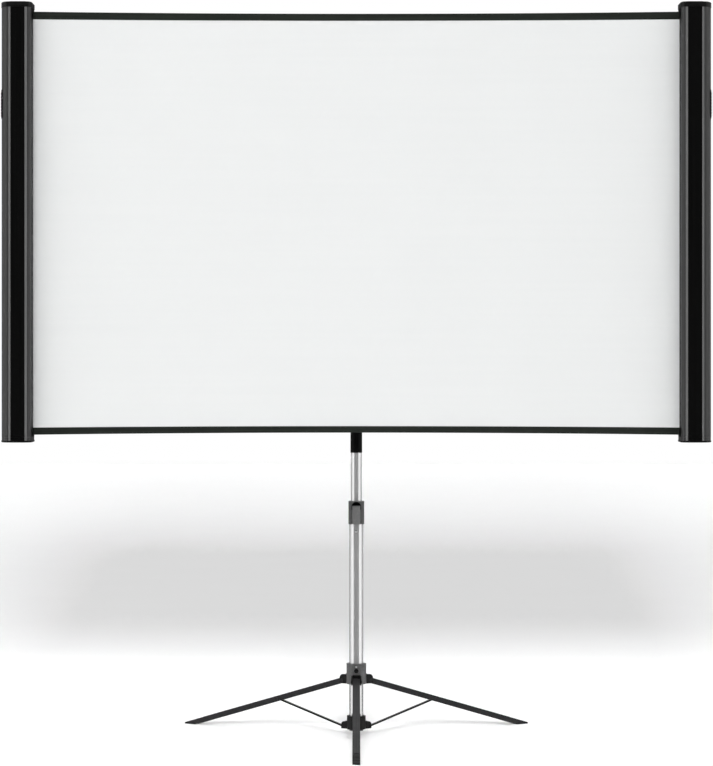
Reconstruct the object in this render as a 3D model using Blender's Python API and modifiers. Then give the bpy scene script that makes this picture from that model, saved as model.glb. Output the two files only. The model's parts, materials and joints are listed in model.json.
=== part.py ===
"""Portable projection screen on a folding tripod stand.

Two upright cases hold spring rollers with the white sheet between them. Telescopic arms
behind the sheet keep the cases apart, so the picture can be made wide or narrow. A socket
under the lower arm sits on a two-part mast, and the mast stands on three folding legs.

Metres, +Z up, the viewer stands towards -Y, and the floor is at z = 0.
"""
import math

import bmesh
import bpy
from mathutils import Matrix, Vector

# Fits shared by all pieces
GAP = 0.0003
CUT_OVERRUN = 0.004
WELD_DISTANCE = 0.00001

# Tripod legs
LEG_COUNT = 3
FOOT_REACH = 0.497
LEG_WIDTH = 0.018
LEG_DEPTH = 0.013
LEG_WALL = 0.0016
LEG_PIVOT_RADIUS = 0.0345
LEG_PIVOT_HEIGHT = 0.1366
LEG_END_OVERHANG = 0.006
LEG_FOOT_DROP = 0.003
FOOT_CAP_LENGTH = 0.056
FOOT_PLUG_LENGTH = 0.012

# Stays between the legs and the foot of the mast
STAY_PIVOT_HEIGHT = 0.022
STAY_WIDTH = 0.008
STAY_DEPTH = 0.0034
STAY_EYE_RADIUS = 0.0045

# Pins of the folding gear
PIN_RADIUS = 0.0025
PIN_HEAD_RADIUS = 0.004
PIN_HEAD_HEIGHT = 0.001

# Hubs round the mast
LEG_HUB_RADIUS = 0.02425
LEG_PIVOT_RISE = 0.0078
LEG_HUB_HEIGHT = 0.0502
LEG_HUB_NECK_RADIUS = 0.0215
LEG_HUB_NECK_HEIGHT = 0.009
HUB_CHEEK = 0.003
LEG_EAR_REACH = 0.0408
LEG_EAR_HEIGHT = 0.0232
BASE_HUB_RADIUS = 0.023
STAY_PIVOT_RISE = 0.0045
BASE_HUB_HEIGHT = 0.0335
STAY_EAR_REACH = 0.0389
STAY_EAR_HEIGHT = 0.0179
EAR_CORNER_SHARE = 0.45
HUB_SCREW_RISE = 0.0342
HUB_SCREW_HEAD_RADIUS = 0.0055
HUB_SCREW_HEAD_LENGTH = 0.006
HUB_SCREW_STEM_RADIUS = 0.0025

# Mast
LOWER_TUBE_RADIUS = 0.017
UPPER_TUBE_RADIUS = 0.0132
TUBE_WALL = 0.0015
LOWER_TUBE_FOOT = 0.018
UPPER_TUBE_FOOT = 0.140
UPPER_TUBE_SHOWN = 0.1183
TUBE_PLUG_FLANGE = 0.0035
TUBE_PLUG_SPIGOT = 0.012
STOP_RIVET_DROP = 0.0185
STOP_RIVET_RADIUS = 0.003
STOP_RIVET_DOME = 0.0012

# Clamp collar between the two mast tubes
COLLAR_HEIGHT = 0.0555
COLLAR_RADIUS = 0.01925
COLLAR_FRONT_REACH = 0.033
COLLAR_SHOULDER_HEIGHT = 0.017
COLLAR_CORNER_RADIUS = 0.004
BUSH_LENGTH = 0.020
LEVER_WIDTH = 0.0196
LEVER_HEAD_RADIUS = 0.006
LEVER_PIVOT_RISE = 0.0391
LEVER_LENGTH = 0.0435
LEVER_TONGUE_DEPTH = 0.005
LEVER_LIP = 0.003
LEVER_TRUNNION_RADIUS = 0.0022
LEVER_TRUNNION_LENGTH = 0.030
LEVER_GROOVE_DEPTH = 0.0125
LEVER_ARCH_RADIUS = 0.0118
LEVER_ARCH_DROP = 0.0056
COLLAR_BRIDGE = 0.0012

# Socket under the screen
SOCKET_RADIUS = 0.01435
SOCKET_LENGTH = 0.0515
SOCKET_CROWN = 0.006

# Telescopic arms, three sections each side, one pair above and one pair below
ARM_SET_BACK = 0.001
ARM_HEIGHT = 0.022
ARM_DEPTH = 0.020
ARM_WALL = 0.0015
ARM_CORNER_RADIUS = 0.003
ARM_INSET = 0.0133
SLEEVE_HALF_LENGTH = 0.300
MIDDLE_ARM_INNER_END = 0.260
MIDDLE_ARM_LENGTH = 0.300
END_ARM_INNER_END = 0.520
END_ARM_CASE_DEPTH = 0.013
ARM_KNOB_RADIUS = 0.0075
ARM_KNOB_LENGTH = 0.013
ARM_KNOB_STEM_RADIUS = 0.003
ARM_KNOB_INSET = 0.015

# Cases
CASE_INNER_FACE = 0.7905
CASE_FOOT_ROOM = 0.0046
CASE_TOP_ROOM = 0.0067
CASE_WIDTH = 0.0755
CASE_DEPTH = 0.082
CASE_BACK = 0.012
CASE_WALL = 0.0022
CASE_STRIP_WIDTH = 0.034
CASE_STRIP_INSET = 0.0155
CASE_STRIP_THICKNESS = 0.0012
CASE_CHAMFER_WIDTH = 0.0055
CASE_CHAMFER_DROP = 0.0036
INNER_SHOULDER_DEPTH = 0.017
OUTER_SHOULDER_DEPTH = 0.0395
CASE_OUTER_BACK_CORNER = 0.012
CASE_INNER_BACK_CORNER = 0.0035
CASE_SLOT = 0.004
END_CAP_HEIGHT = 0.013
END_CAP_LIP = 0.0008
END_CAP_EDGE = 0.0015
GRIP_DROP = 0.2125
GRIP_HEIGHT = 0.0710
GRIP_THICKNESS = 0.0017
GRIP_FRONT_DEPTH = 0.018
GRIP_LENGTH = 0.042
GRIP_EDGE = 0.0008

# Rollers and the sheet
SHEET_SOCKET_CLEARANCE = 0.0012
SHEET_THICKNESS = 0.0005
SHEET_TOP_MIDDLE = 1.7696
SHEET_FOOT_MIDDLE = 0.7448
SHEET_BOW = 0.0052
BORDER_THICKNESS = 0.0004
TOP_BORDER_HEIGHT = 0.0171
FOOT_BORDER_HEIGHT = 0.0159
BORDER_FLARE = 0.0016
WOUND_RADIUS = 0.0155
ROLLER_RADIUS = 0.0140
ROLLER_WALL = 0.0012
ROLLER_LIP = 0.003
ROLLER_SHAFT_RADIUS = 0.004
SHAFT_SEAT_DEPTH = 0.008
ROLLER_END_PLAY = 0.002
SPRING_WIRE_RADIUS = 0.0008
SPRING_TURNS = 14
SPRING_LENGTH = 0.180

# Faceting
ROUND_STEPS = 32
SMALL_STEPS = 16
CORNER_STEPS = 4
SHOULDER_STEPS = 9
BOW_STEPS = 18
SPRING_TURN_POINTS = 8

# Places worked out from the sizes above
THIRD_TURN = math.tau / LEG_COUNT
REAR_REACH = FOOT_REACH * math.cos(THIRD_TURN / 2) + LEG_WIDTH / 2 * math.sin(THIRD_TURN / 2)
MAST_Y = (FOOT_REACH - REAR_REACH) / 2
LEG_SPREAD_DROP = LEG_PIVOT_HEIGHT + LEG_FOOT_DROP
LEG_SLOPE = math.atan2(LEG_SPREAD_DROP, FOOT_REACH - LEG_PIVOT_RADIUS)
CAP_START = (FOOT_REACH - LEG_PIVOT_RADIUS) / math.cos(LEG_SLOPE) - FOOT_CAP_LENGTH
STAY_LENGTH = (LEG_PIVOT_HEIGHT - STAY_PIVOT_HEIGHT) / 2 / math.sin(LEG_SLOPE)
SHEET_Y = MAST_Y - SOCKET_RADIUS - SHEET_SOCKET_CLEARANCE - SHEET_THICKNESS / 2
ARM_Y = MAST_Y + ARM_SET_BACK
CASE_FRONT_Y = MAST_Y + CASE_BACK - CASE_DEPTH
CASE_CENTRE_X = CASE_INNER_FACE + CASE_WIDTH / 2
BORDER_FRONT = SHEET_Y - SHEET_THICKNESS / 2 - GAP - BORDER_THICKNESS
ROLLER_Y = BORDER_FRONT - GAP - WOUND_RADIUS
WOUND_FOOT = SHEET_FOOT_MIDDLE - SHEET_BOW
WOUND_TOP = SHEET_TOP_MIDDLE + SHEET_BOW
BORE_FOOT = WOUND_FOOT - CASE_FOOT_ROOM
BORE_TOP = WOUND_TOP + CASE_TOP_ROOM
CASE_FOOT = BORE_FOOT - END_CAP_HEIGHT
CASE_TOP = BORE_TOP + END_CAP_HEIGHT
GRIP_TOP = CASE_TOP - GRIP_DROP
LOWER_ARM_CENTRE = SHEET_FOOT_MIDDLE + ARM_INSET
UPPER_ARM_CENTRE = SHEET_TOP_MIDDLE - ARM_INSET
LEG_HUB_BASE_HEIGHT = LEG_PIVOT_HEIGHT - LEG_PIVOT_RISE
HUB_SCREW_HEIGHT = LEG_HUB_BASE_HEIGHT + HUB_SCREW_RISE
BASE_HUB_BASE_HEIGHT = STAY_PIVOT_HEIGHT - STAY_PIVOT_RISE
SOCKET_TOP = LOWER_ARM_CENTRE - ARM_HEIGHT / 2 - GAP
SOCKET_FOOT = SOCKET_TOP - SOCKET_LENGTH
UPPER_TUBE_TOP = SOCKET_TOP - SOCKET_CROWN - GAP
COLLAR_TOP = SOCKET_FOOT - UPPER_TUBE_SHOWN
COLLAR_BASE_HEIGHT = COLLAR_TOP - COLLAR_HEIGHT
LOWER_TUBE_TOP = COLLAR_TOP - COLLAR_SHOULDER_HEIGHT - GAP
STOP_RIVET_HEIGHT = COLLAR_BASE_HEIGHT - STOP_RIVET_DROP
LEVER_PIVOT_HEIGHT = COLLAR_BASE_HEIGHT + LEVER_PIVOT_RISE
LEVER_Y = MAST_Y - COLLAR_FRONT_REACH + LEVER_HEAD_RADIUS

# Least share of a corner's mitre that an outline's offset keeps
MITRE_SHARE = 0.5

COLOURS = {
    "case": ((0.055, 0.056, 0.058), 0.55, 0.42),
    "gloss": ((0.006, 0.006, 0.007), 0.0, 0.08),
    "cap": ((0.018, 0.018, 0.019), 0.0, 0.35),
    "sheet": ((0.86, 0.87, 0.87), 0.0, 0.75),
    "border": ((0.018, 0.019, 0.018), 0.0, 0.7),
    "alloy": ((0.55, 0.56, 0.57), 0.9, 0.3),
    "black_tube": ((0.012, 0.012, 0.013), 0.3, 0.4),
    "hub": ((0.035, 0.035, 0.037), 0.0, 0.45),
    "collar": ((0.09, 0.09, 0.095), 0.0, 0.5),
    "lever": ((0.17, 0.17, 0.175), 0.0, 0.45),
    "leg": ((0.045, 0.046, 0.05), 0.4, 0.45),
    "rubber": ((0.012, 0.012, 0.012), 0.0, 0.85),
    "steel": ((0.45, 0.45, 0.46), 1.0, 0.3),
}


def clear_scene():
    for old in list(bpy.data.objects):
        bpy.data.objects.remove(old, do_unlink=True)


def make_collection(name):
    collection = bpy.data.collections.new(name)
    bpy.context.scene.collection.children.link(collection)
    return collection


def make_material(key):
    colour, metallic, roughness = COLOURS[key]
    material = bpy.data.materials.new(key)
    material.use_nodes = True
    shader = material.node_tree.nodes["Principled BSDF"]
    shader.inputs["Base Color"].default_value = (*colour, 1.0)
    shader.inputs["Metallic"].default_value = metallic
    shader.inputs["Roughness"].default_value = roughness
    return material


clear_scene()
PARTS = make_collection("projection_screen")
CUTTERS = make_collection("cutters")
MATERIALS = {key: make_material(key) for key in COLOURS}


def finish_part(obj, name, key):
    """Name a piece, give it its material and put it with the parts."""
    obj.name = name
    obj.data.name = name
    obj.data.materials.clear()
    obj.data.materials.append(MATERIALS[key])
    PARTS.objects.link(obj)
    return obj


def new_object(mesh):
    return bpy.data.objects.new(mesh.name, mesh)


def hide_cutter(obj, name):
    obj.name = name
    obj.hide_render = True
    obj.display_type = "WIRE"
    CUTTERS.objects.link(obj)
    return obj


def place(obj, matrix):
    obj.matrix_world = matrix
    return obj


def pivot_empty(name, position):
    """An empty on a joint's axis, which the moving pieces are parented to."""
    empty = bpy.data.objects.new(name, None)
    empty.location = position
    empty.empty_display_size = PIN_HEAD_RADIUS
    PARTS.objects.link(empty)
    return empty


def ride(empty, *pieces):
    """Parent pieces to a joint's empty and leave them where they stand."""
    bpy.context.view_layer.update()
    for piece in pieces:
        world = piece.matrix_world.copy()
        piece.parent = empty
        piece.matrix_parent_inverse = empty.matrix_world.inverted()
        piece.matrix_world = world


def smooth_round(mesh):
    mesh.shade_smooth()
    mesh.set_sharp_from_angle(angle=math.radians(35))


def box_mesh(size, centre=(0, 0, 0)):
    bm = bmesh.new()
    bmesh.ops.create_cube(bm, size=1.0)
    bmesh.ops.scale(bm, vec=Vector(size), verts=bm.verts)
    bmesh.ops.translate(bm, vec=Vector(centre), verts=bm.verts)
    mesh = bpy.data.meshes.new("box")
    bm.to_mesh(mesh)
    bm.free()
    return mesh


def rod_mesh(radius, length, steps=SMALL_STEPS):
    """A plain round bar along Z, centred on the origin."""
    bm = bmesh.new()
    bmesh.ops.create_cone(
        bm, cap_ends=True, segments=steps, radius1=radius, radius2=radius, depth=length
    )
    mesh = bpy.data.meshes.new("rod")
    bm.to_mesh(mesh)
    bm.free()
    smooth_round(mesh)
    return mesh


def turned_object(profile, steps=ROUND_STEPS, closed=False):
    """Turn a profile of (radius, height) points round Z. It runs down the outer side."""
    mesh = bpy.data.meshes.new("turned")
    points = [(radius, 0, height) for radius, height in profile]
    edges = [(i, i + 1) for i in range(len(points) - 1)]
    if closed:
        edges.append((len(points) - 1, 0))
    mesh.from_pydata(points, edges, [])
    obj = new_object(mesh)
    screw = obj.modifiers.new("turn", "SCREW")
    screw.axis = "Z"
    screw.angle = math.tau
    screw.steps = steps
    screw.render_steps = steps
    screw.use_merge_vertices = True
    screw.merge_threshold = WELD_DISTANCE
    screw.use_smooth_shade = False
    return obj


def tube_profile(outer, inner, foot, top):
    return [(outer, top), (outer, foot), (inner, foot), (inner, top)]


def outline_mesh(loops, thickness):
    """A flat outline with holes, drawn in XY and thickened about Z = 0."""
    curve = bpy.data.curves.new("outline", "CURVE")
    curve.dimensions = "2D"
    curve.fill_mode = "BOTH"
    curve.extrude = thickness / 2
    for loop in loops:
        spline = curve.splines.new("POLY")
        spline.points.add(len(loop) - 1)
        for point, (x, y) in zip(spline.points, loop):
            point.co = (x, y, 0, 1)
        spline.use_cyclic_u = True
    return mesh_from_curve(curve)


def mesh_from_curve(curve):
    """A closed mesh from a curve, with its loose caps welded on."""
    obj = bpy.data.objects.new("curve", curve)
    bpy.context.scene.collection.objects.link(obj)
    bpy.context.view_layer.update()
    evaluated = obj.evaluated_get(bpy.context.evaluated_depsgraph_get())
    mesh = bpy.data.meshes.new_from_object(evaluated)
    bpy.data.objects.remove(obj, do_unlink=True)
    bm = bmesh.new()
    bm.from_mesh(mesh)
    bmesh.ops.remove_doubles(bm, verts=bm.verts, dist=WELD_DISTANCE)
    bmesh.ops.recalc_face_normals(bm, faces=bm.faces)
    bm.to_mesh(mesh)
    bm.free()
    return mesh


def arc(centre, radii, start, end, steps):
    """Points of an elliptical arc, from one angle in degrees to another."""
    points = []
    for i in range(steps + 1):
        angle = math.radians(start + (end - start) * i / steps)
        points.append((
            centre[0] + radii[0] * math.cos(angle),
            centre[1] + radii[1] * math.sin(angle),
        ))
    return points


def rounded_rectangle(width, height, corner, steps=CORNER_STEPS):
    half_w, half_h = width / 2 - corner, height / 2 - corner
    corners = [(half_w, half_h, 0), (-half_w, half_h, 90), (-half_w, -half_h, 180),
               (half_w, -half_h, 270)]
    points = []
    for x, y, start in corners:
        points += arc((x, y), (corner, corner), start, start + 90, steps)
    return points


def offset_outline(points, distance):
    """Move a counter-clockwise outline outwards by a distance, along its mean normals."""
    count = len(points)
    moved = []
    for i in range(count):
        before = Vector(points[i - 1])
        here = Vector(points[i])
        after = Vector(points[(i + 1) % count])
        first = (here - before).normalized()
        second = (after - here).normalized()
        normal = Vector((first.y + second.y, -first.x - second.x)).normalized()
        spread = max(normal.dot(Vector((first.y, -first.x))), MITRE_SHARE)
        moved.append(tuple(here + normal * distance / spread))
    return moved


def add_boolean(obj, cutter, operation="DIFFERENCE"):
    modifier = obj.modifiers.new(cutter.name, "BOOLEAN")
    modifier.operation = operation
    modifier.solver = "EXACT"
    modifier.object = cutter


def add_bevel(obj, width, segments=2):
    bevel = obj.modifiers.new("edge", "BEVEL")
    bevel.width = width
    bevel.segments = segments
    bevel.limit_method = "ANGLE"
    bevel.angle_limit = math.radians(40)


def joined_mesh(meshes_and_places):
    """Several separate closed shapes in one mesh, for use as one cutter."""
    bm = bmesh.new()
    for mesh, matrix in meshes_and_places:
        part = bmesh.new()
        part.from_mesh(mesh)
        part.transform(matrix)
        temporary = bpy.data.meshes.new("placed")
        part.to_mesh(temporary)
        part.free()
        bm.from_mesh(temporary)
        bpy.data.meshes.remove(temporary)
    mesh = bpy.data.meshes.new("joined")
    bm.to_mesh(mesh)
    bm.free()
    return mesh


# Directions of the legs: X runs outwards along the leg and Y across it

LEG_NAMES = ("front", "right", "left")

# The screen's two sides and the sign of their X

SIDES = (("left", -1), ("right", 1))

# Lays an outline down so that its thickness runs along X

THICKNESS_ALONG_X = Matrix(((0, 0, 1, 0), (1, 0, 0, 0), (0, 1, 0, 0), (0, 0, 0, 1)))


def leg_frame(index):
    """World matrix of a leg's own frame on the mast's axis, at floor level."""
    turn = -math.pi / 2 + index * THIRD_TURN
    return Matrix.Translation((0, MAST_Y, 0)) @ Matrix.Rotation(turn, 4, "Z")


def across(frame, radius, height):
    """Matrix of a pin that lies across a leg frame at a radius and height."""
    return frame @ Matrix.Translation((radius, 0, height)) @ Matrix.Rotation(math.pi / 2, 4, "X")


def stay_joint_place():
    """Radius and height of the pin between a leg and its stay."""
    radius = LEG_PIVOT_RADIUS + STAY_LENGTH * math.cos(LEG_SLOPE)
    height = STAY_PIVOT_HEIGHT + STAY_LENGTH * math.sin(LEG_SLOPE)
    return radius, height


def leg_matrix(index):
    """The leg's own frame: X down along the leg from its pivot, Z square to its back."""
    pivot = Matrix.Translation((LEG_PIVOT_RADIUS, 0, LEG_PIVOT_HEIGHT))
    return leg_frame(index) @ pivot @ Matrix.Rotation(LEG_SLOPE, 4, "Y")


def make_leg(index):
    """A channel that is open underneath. It ends where its foot cap starts."""
    name = LEG_NAMES[index]
    run = CAP_START - GAP
    half_w, half_d = LEG_WIDTH / 2, LEG_DEPTH / 2
    section = [
        (half_w, half_d), (-half_w, half_d), (-half_w, -half_d), (-half_w + LEG_WALL, -half_d),
        (-half_w + LEG_WALL, half_d - LEG_WALL), (half_w - LEG_WALL, half_d - LEG_WALL),
        (half_w - LEG_WALL, -half_d), (half_w, -half_d),
    ]
    length = run + LEG_END_OVERHANG
    mesh = outline_mesh([section], length)
    middle = Matrix.Translation(((run - LEG_END_OVERHANG) / 2, 0, 0))
    mesh.transform(middle @ THICKNESS_ALONG_X)
    leg = finish_part(new_object(mesh), name + "_leg", "leg")
    place(leg, leg_matrix(index))
    frame = leg_frame(index)
    joint_radius, joint_height = stay_joint_place()
    bore = rod_mesh(PIN_RADIUS + GAP, LEG_WIDTH + 2 * CUT_OVERRUN)
    holes = joined_mesh([
        (bore, across(frame, LEG_PIVOT_RADIUS, LEG_PIVOT_HEIGHT)),
        (bore, across(frame, joint_radius, joint_height)),
    ])
    add_boolean(leg, hide_cutter(new_object(holes), name + "_leg_pin_holes"))
    return leg


def foot_cutters(index):
    """Everything under the floor, and everything beyond the reach of one foot."""
    name = LEG_NAMES[index]
    length = 2 * FOOT_CAP_LENGTH
    under = box_mesh((2 * length, 3 * LEG_WIDTH, length), (FOOT_REACH, 0, -length / 2))
    beyond = box_mesh((length, 3 * LEG_WIDTH, 2 * length), (FOOT_REACH + length / 2, 0, 0))
    return [
        hide_cutter(place(new_object(under), leg_frame(index)), name + "_floor_cut"),
        hide_cutter(place(new_object(beyond), leg_frame(index)), name + "_end_cut"),
    ]


def make_foot_cap(index):
    """A rubber foot that carries the leg's shape down to the floor, plugged into the leg."""
    name = LEG_NAMES[index]
    reach = FOOT_CAP_LENGTH + LEG_DEPTH
    block = box_mesh((reach, LEG_WIDTH, LEG_DEPTH), (CAP_START + reach / 2, 0, 0))
    foot = finish_part(new_object(block), name + "_foot_cap", "rubber")
    place(foot, leg_matrix(index))
    width = LEG_WIDTH - 2 * (LEG_WALL + GAP)
    depth = LEG_DEPTH - LEG_WALL - 2 * GAP
    plug = new_object(box_mesh((2 * FOOT_PLUG_LENGTH, width, depth), (CAP_START, 0, -LEG_WALL / 2)))
    place(plug, leg_matrix(index))
    add_boolean(foot, hide_cutter(plug, name + "_foot_plug"), "UNION")
    for cutter in foot_cutters(index):
        add_boolean(foot, cutter)
    return foot


def make_pin(name, matrix, grip):
    """A headed pin through parts that are together as wide as its grip."""
    half = grip / 2 + GAP
    end = half + PIN_HEAD_HEIGHT
    profile = [
        (0, end), (PIN_HEAD_RADIUS, end), (PIN_HEAD_RADIUS, half), (PIN_RADIUS, half),
        (PIN_RADIUS, -half), (PIN_HEAD_RADIUS, -half), (PIN_HEAD_RADIUS, -end), (0, -end),
    ]
    pin = finish_part(turned_object(profile, SMALL_STEPS), name, "leg")
    return place(pin, matrix)


def make_stay(index):
    """A flat link. Its lower end has a cross pin that turns in the foot hub."""
    name = LEG_NAMES[index]
    frame = leg_frame(index)
    half = STAY_DEPTH / 2
    lean = math.degrees(math.asin(half / STAY_EYE_RADIUS))
    radii = (STAY_EYE_RADIUS, STAY_EYE_RADIUS)
    outline = arc((0, 0), radii, lean, 360 - lean, 2 * CORNER_STEPS)
    outline += arc((STAY_LENGTH, 0), radii, lean - 180, 180 - lean, 2 * CORNER_STEPS)
    hole_radii = (PIN_RADIUS + GAP, PIN_RADIUS + GAP)
    hole = arc((STAY_LENGTH, 0), hole_radii, 0, 360 - 360 / SMALL_STEPS, SMALL_STEPS - 1)
    mesh = outline_mesh([outline, hole], STAY_WIDTH)
    mesh.transform(Matrix.Rotation(math.pi / 2, 4, "X"))
    stay = finish_part(new_object(mesh), name + "_stay", "leg")
    base = Matrix.Translation((LEG_PIVOT_RADIUS, 0, STAY_PIVOT_HEIGHT))
    place(stay, frame @ base @ Matrix.Rotation(-LEG_SLOPE, 4, "Y"))
    pin = new_object(rod_mesh(PIN_RADIUS, stay_ear_width()))
    place(pin, across(frame, LEG_PIVOT_RADIUS, STAY_PIVOT_HEIGHT))
    add_boolean(stay, hide_cutter(pin, name + "_stay_cross_pin"), "UNION")
    return stay


def stay_ear_width():
    return STAY_WIDTH + 4 * GAP + 2 * HUB_CHEEK


def leg_ear_width():
    return LEG_WIDTH + 2 * GAP + 2 * HUB_CHEEK


def hub_ears(hub, name, reach, width, height, pivot_rise, pivot_height, slot, body_radius):
    """Three forked ears round a hub's foot, each with a slot for a link and a pin hole."""
    inner = body_radius - HUB_CHEEK
    foot = pivot_height - pivot_rise
    middle = foot + height / 2
    corner = EAR_CORNER_SHARE * height
    bend = (reach - corner, foot + height - corner)
    outline = [(inner, foot), (reach, foot)]
    outline += arc(bend, (corner, corner), 0, 90, CORNER_STEPS)
    outline.append((inner, foot + height))
    block = outline_mesh([outline], width)
    block.transform(Matrix.Rotation(math.pi / 2, 4, "X"))
    slot_start = body_radius + GAP
    slot_size = (reach - slot_start + CUT_OVERRUN, slot, height + CUT_OVERRUN)
    slot_mesh = box_mesh(slot_size, (slot_start + slot_size[0] / 2, 0, middle))
    bore = rod_mesh(PIN_RADIUS + GAP, width + CUT_OVERRUN)
    frames = [leg_frame(i) for i in range(LEG_COUNT)]
    blocks = joined_mesh([(block, frame) for frame in frames])
    slots = joined_mesh([(slot_mesh, frame) for frame in frames])
    bores = joined_mesh([(bore, across(frame, LEG_PIVOT_RADIUS, pivot_height))
                         for frame in frames])
    add_boolean(hub, hide_cutter(new_object(blocks), name + "_ears"), "UNION")
    add_boolean(hub, hide_cutter(new_object(slots), name + "_slots"))
    add_boolean(hub, hide_cutter(new_object(bores), name + "_pin_holes"))


def make_leg_hub():
    """The sliding hub that the legs hang from."""
    top = LEG_HUB_BASE_HEIGHT + LEG_HUB_HEIGHT
    bore = LOWER_TUBE_RADIUS + GAP
    profile = [
        (LEG_HUB_NECK_RADIUS, top), (LEG_HUB_RADIUS, top - LEG_HUB_NECK_HEIGHT),
        (LEG_HUB_RADIUS, LEG_HUB_BASE_HEIGHT), (bore, LEG_HUB_BASE_HEIGHT), (bore, top),
    ]
    hub = finish_part(turned_object(profile, closed=True), "leg_hub", "hub")
    hub.location = (0, MAST_Y, 0)
    hub_ears(hub, "leg_hub", LEG_EAR_REACH, leg_ear_width(), LEG_EAR_HEIGHT,
             LEG_PIVOT_RISE, LEG_PIVOT_HEIGHT, LEG_WIDTH + 2 * GAP, LEG_HUB_RADIUS)
    stem = new_object(rod_mesh(HUB_SCREW_STEM_RADIUS + GAP, LEG_HUB_RADIUS))
    place(stem, hub_screw_matrix(LEG_HUB_RADIUS))
    add_boolean(hub, hide_cutter(stem, "hub_screw_hole"))
    return hub


def hub_screw_matrix(radius):
    turn = Matrix.Rotation(math.pi / 2, 4, "X")
    return Matrix.Translation((0, MAST_Y - radius, HUB_SCREW_HEIGHT)) @ turn


def make_hub_screw():
    """The thumb screw on the front of the leg hub, which clamps it to the mast."""
    inner = -(LEG_HUB_RADIUS - LOWER_TUBE_RADIUS - GAP)
    edge = HUB_SCREW_STEM_RADIUS / 2
    profile = [
        (0, HUB_SCREW_HEAD_LENGTH), (HUB_SCREW_HEAD_RADIUS - edge, HUB_SCREW_HEAD_LENGTH),
        (HUB_SCREW_HEAD_RADIUS, HUB_SCREW_HEAD_LENGTH - edge), (HUB_SCREW_HEAD_RADIUS, GAP),
        (HUB_SCREW_STEM_RADIUS, GAP), (HUB_SCREW_STEM_RADIUS, inner), (0, inner),
    ]
    screw = finish_part(turned_object(profile, SMALL_STEPS), "hub_lock_screw", "hub")
    return place(screw, hub_screw_matrix(LEG_HUB_RADIUS))


def make_base_hub():
    """The fixed hub at the foot of the mast, which carries the stays."""
    top = BASE_HUB_BASE_HEIGHT + BASE_HUB_HEIGHT
    bore = LOWER_TUBE_RADIUS + GAP
    edge = HUB_CHEEK
    profile = [
        (BASE_HUB_RADIUS - edge, top), (BASE_HUB_RADIUS, top - edge),
        (BASE_HUB_RADIUS, BASE_HUB_BASE_HEIGHT), (bore, BASE_HUB_BASE_HEIGHT), (bore, top),
    ]
    hub = finish_part(turned_object(profile, closed=True), "base_hub", "hub")
    hub.location = (0, MAST_Y, 0)
    hub_ears(hub, "base_hub", STAY_EAR_REACH, stay_ear_width(), STAY_EAR_HEIGHT,
             STAY_PIVOT_RISE, STAY_PIVOT_HEIGHT, STAY_WIDTH + 4 * GAP, BASE_HUB_RADIUS)
    return hub


def make_tripod():
    leg_hub = make_leg_hub()
    screw = make_hub_screw()
    make_base_hub()
    joint_radius, joint_height = stay_joint_place()
    front_hinge = across(leg_frame(0), LEG_PIVOT_RADIUS, LEG_PIVOT_HEIGHT)
    hub_empty = pivot_empty("leg_hub_axis", front_hinge.translation)
    ride(hub_empty, leg_hub, screw)
    for index, name in enumerate(LEG_NAMES):
        frame = leg_frame(index)
        leg = make_leg(index)
        shoe = make_foot_cap(index)
        stay = make_stay(index)
        joint = across(frame, joint_radius, joint_height)
        rivet = make_pin(name + "_stay_rivet", joint, LEG_WIDTH)
        hinge = across(frame, LEG_PIVOT_RADIUS, LEG_PIVOT_HEIGHT)
        hub_pin = make_pin(name + "_leg_pin", hinge, leg_ear_width())
        foot = across(frame, LEG_PIVOT_RADIUS, STAY_PIVOT_HEIGHT)
        ride(pivot_empty(name + "_stay_axis", foot.translation), stay)
        ride(pivot_empty(name + "_leg_axis", joint.translation), leg, shoe, rivet)
        ride(hub_empty, hub_pin)


def make_mast():
    """The lower tube with its plug and stop rivet, and the upper tube that slides in it."""
    bore = LOWER_TUBE_RADIUS - TUBE_WALL
    profile = tube_profile(LOWER_TUBE_RADIUS, bore, LOWER_TUBE_FOOT, LOWER_TUBE_TOP)
    lower = finish_part(turned_object(profile, closed=True), "lower_tube", "alloy")
    lower.location = (0, MAST_Y, 0)
    seat = LOWER_TUBE_FOOT - GAP
    spigot = bore - GAP
    profile = [
        (0, LOWER_TUBE_FOOT + TUBE_PLUG_SPIGOT), (spigot, LOWER_TUBE_FOOT + TUBE_PLUG_SPIGOT),
        (spigot, seat), (LOWER_TUBE_RADIUS, seat),
        (LOWER_TUBE_RADIUS, seat - TUBE_PLUG_FLANGE), (0, seat - TUBE_PLUG_FLANGE),
    ]
    plug = finish_part(turned_object(profile), "tube_plug", "hub")
    plug.location = (0, MAST_Y, 0)
    dome = [(0, STOP_RIVET_DOME), (STOP_RIVET_RADIUS / 2, STOP_RIVET_DOME - GAP),
            (STOP_RIVET_RADIUS, 0), (0, 0)]
    rivet = finish_part(turned_object(dome, SMALL_STEPS), "stop_rivet", "steel")
    front = MAST_Y - LOWER_TUBE_RADIUS - GAP
    place(rivet, Matrix.Translation((0, front, STOP_RIVET_HEIGHT))
          @ Matrix.Rotation(math.pi / 2, 4, "X"))
    bore = UPPER_TUBE_RADIUS - TUBE_WALL
    profile = tube_profile(UPPER_TUBE_RADIUS, bore, UPPER_TUBE_FOOT, UPPER_TUBE_TOP)
    upper = finish_part(turned_object(profile, closed=True), "upper_tube", "alloy")
    place(upper, Matrix.Translation((0, MAST_Y, 0)))
    profile = tube_profile(
        LOWER_TUBE_RADIUS - TUBE_WALL - GAP, UPPER_TUBE_RADIUS + GAP,
        LOWER_TUBE_TOP - BUSH_LENGTH, LOWER_TUBE_TOP,
    )
    bush = finish_part(turned_object(profile, closed=True), "collar_bush", "cap")
    bush.location = (0, MAST_Y, 0)


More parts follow.
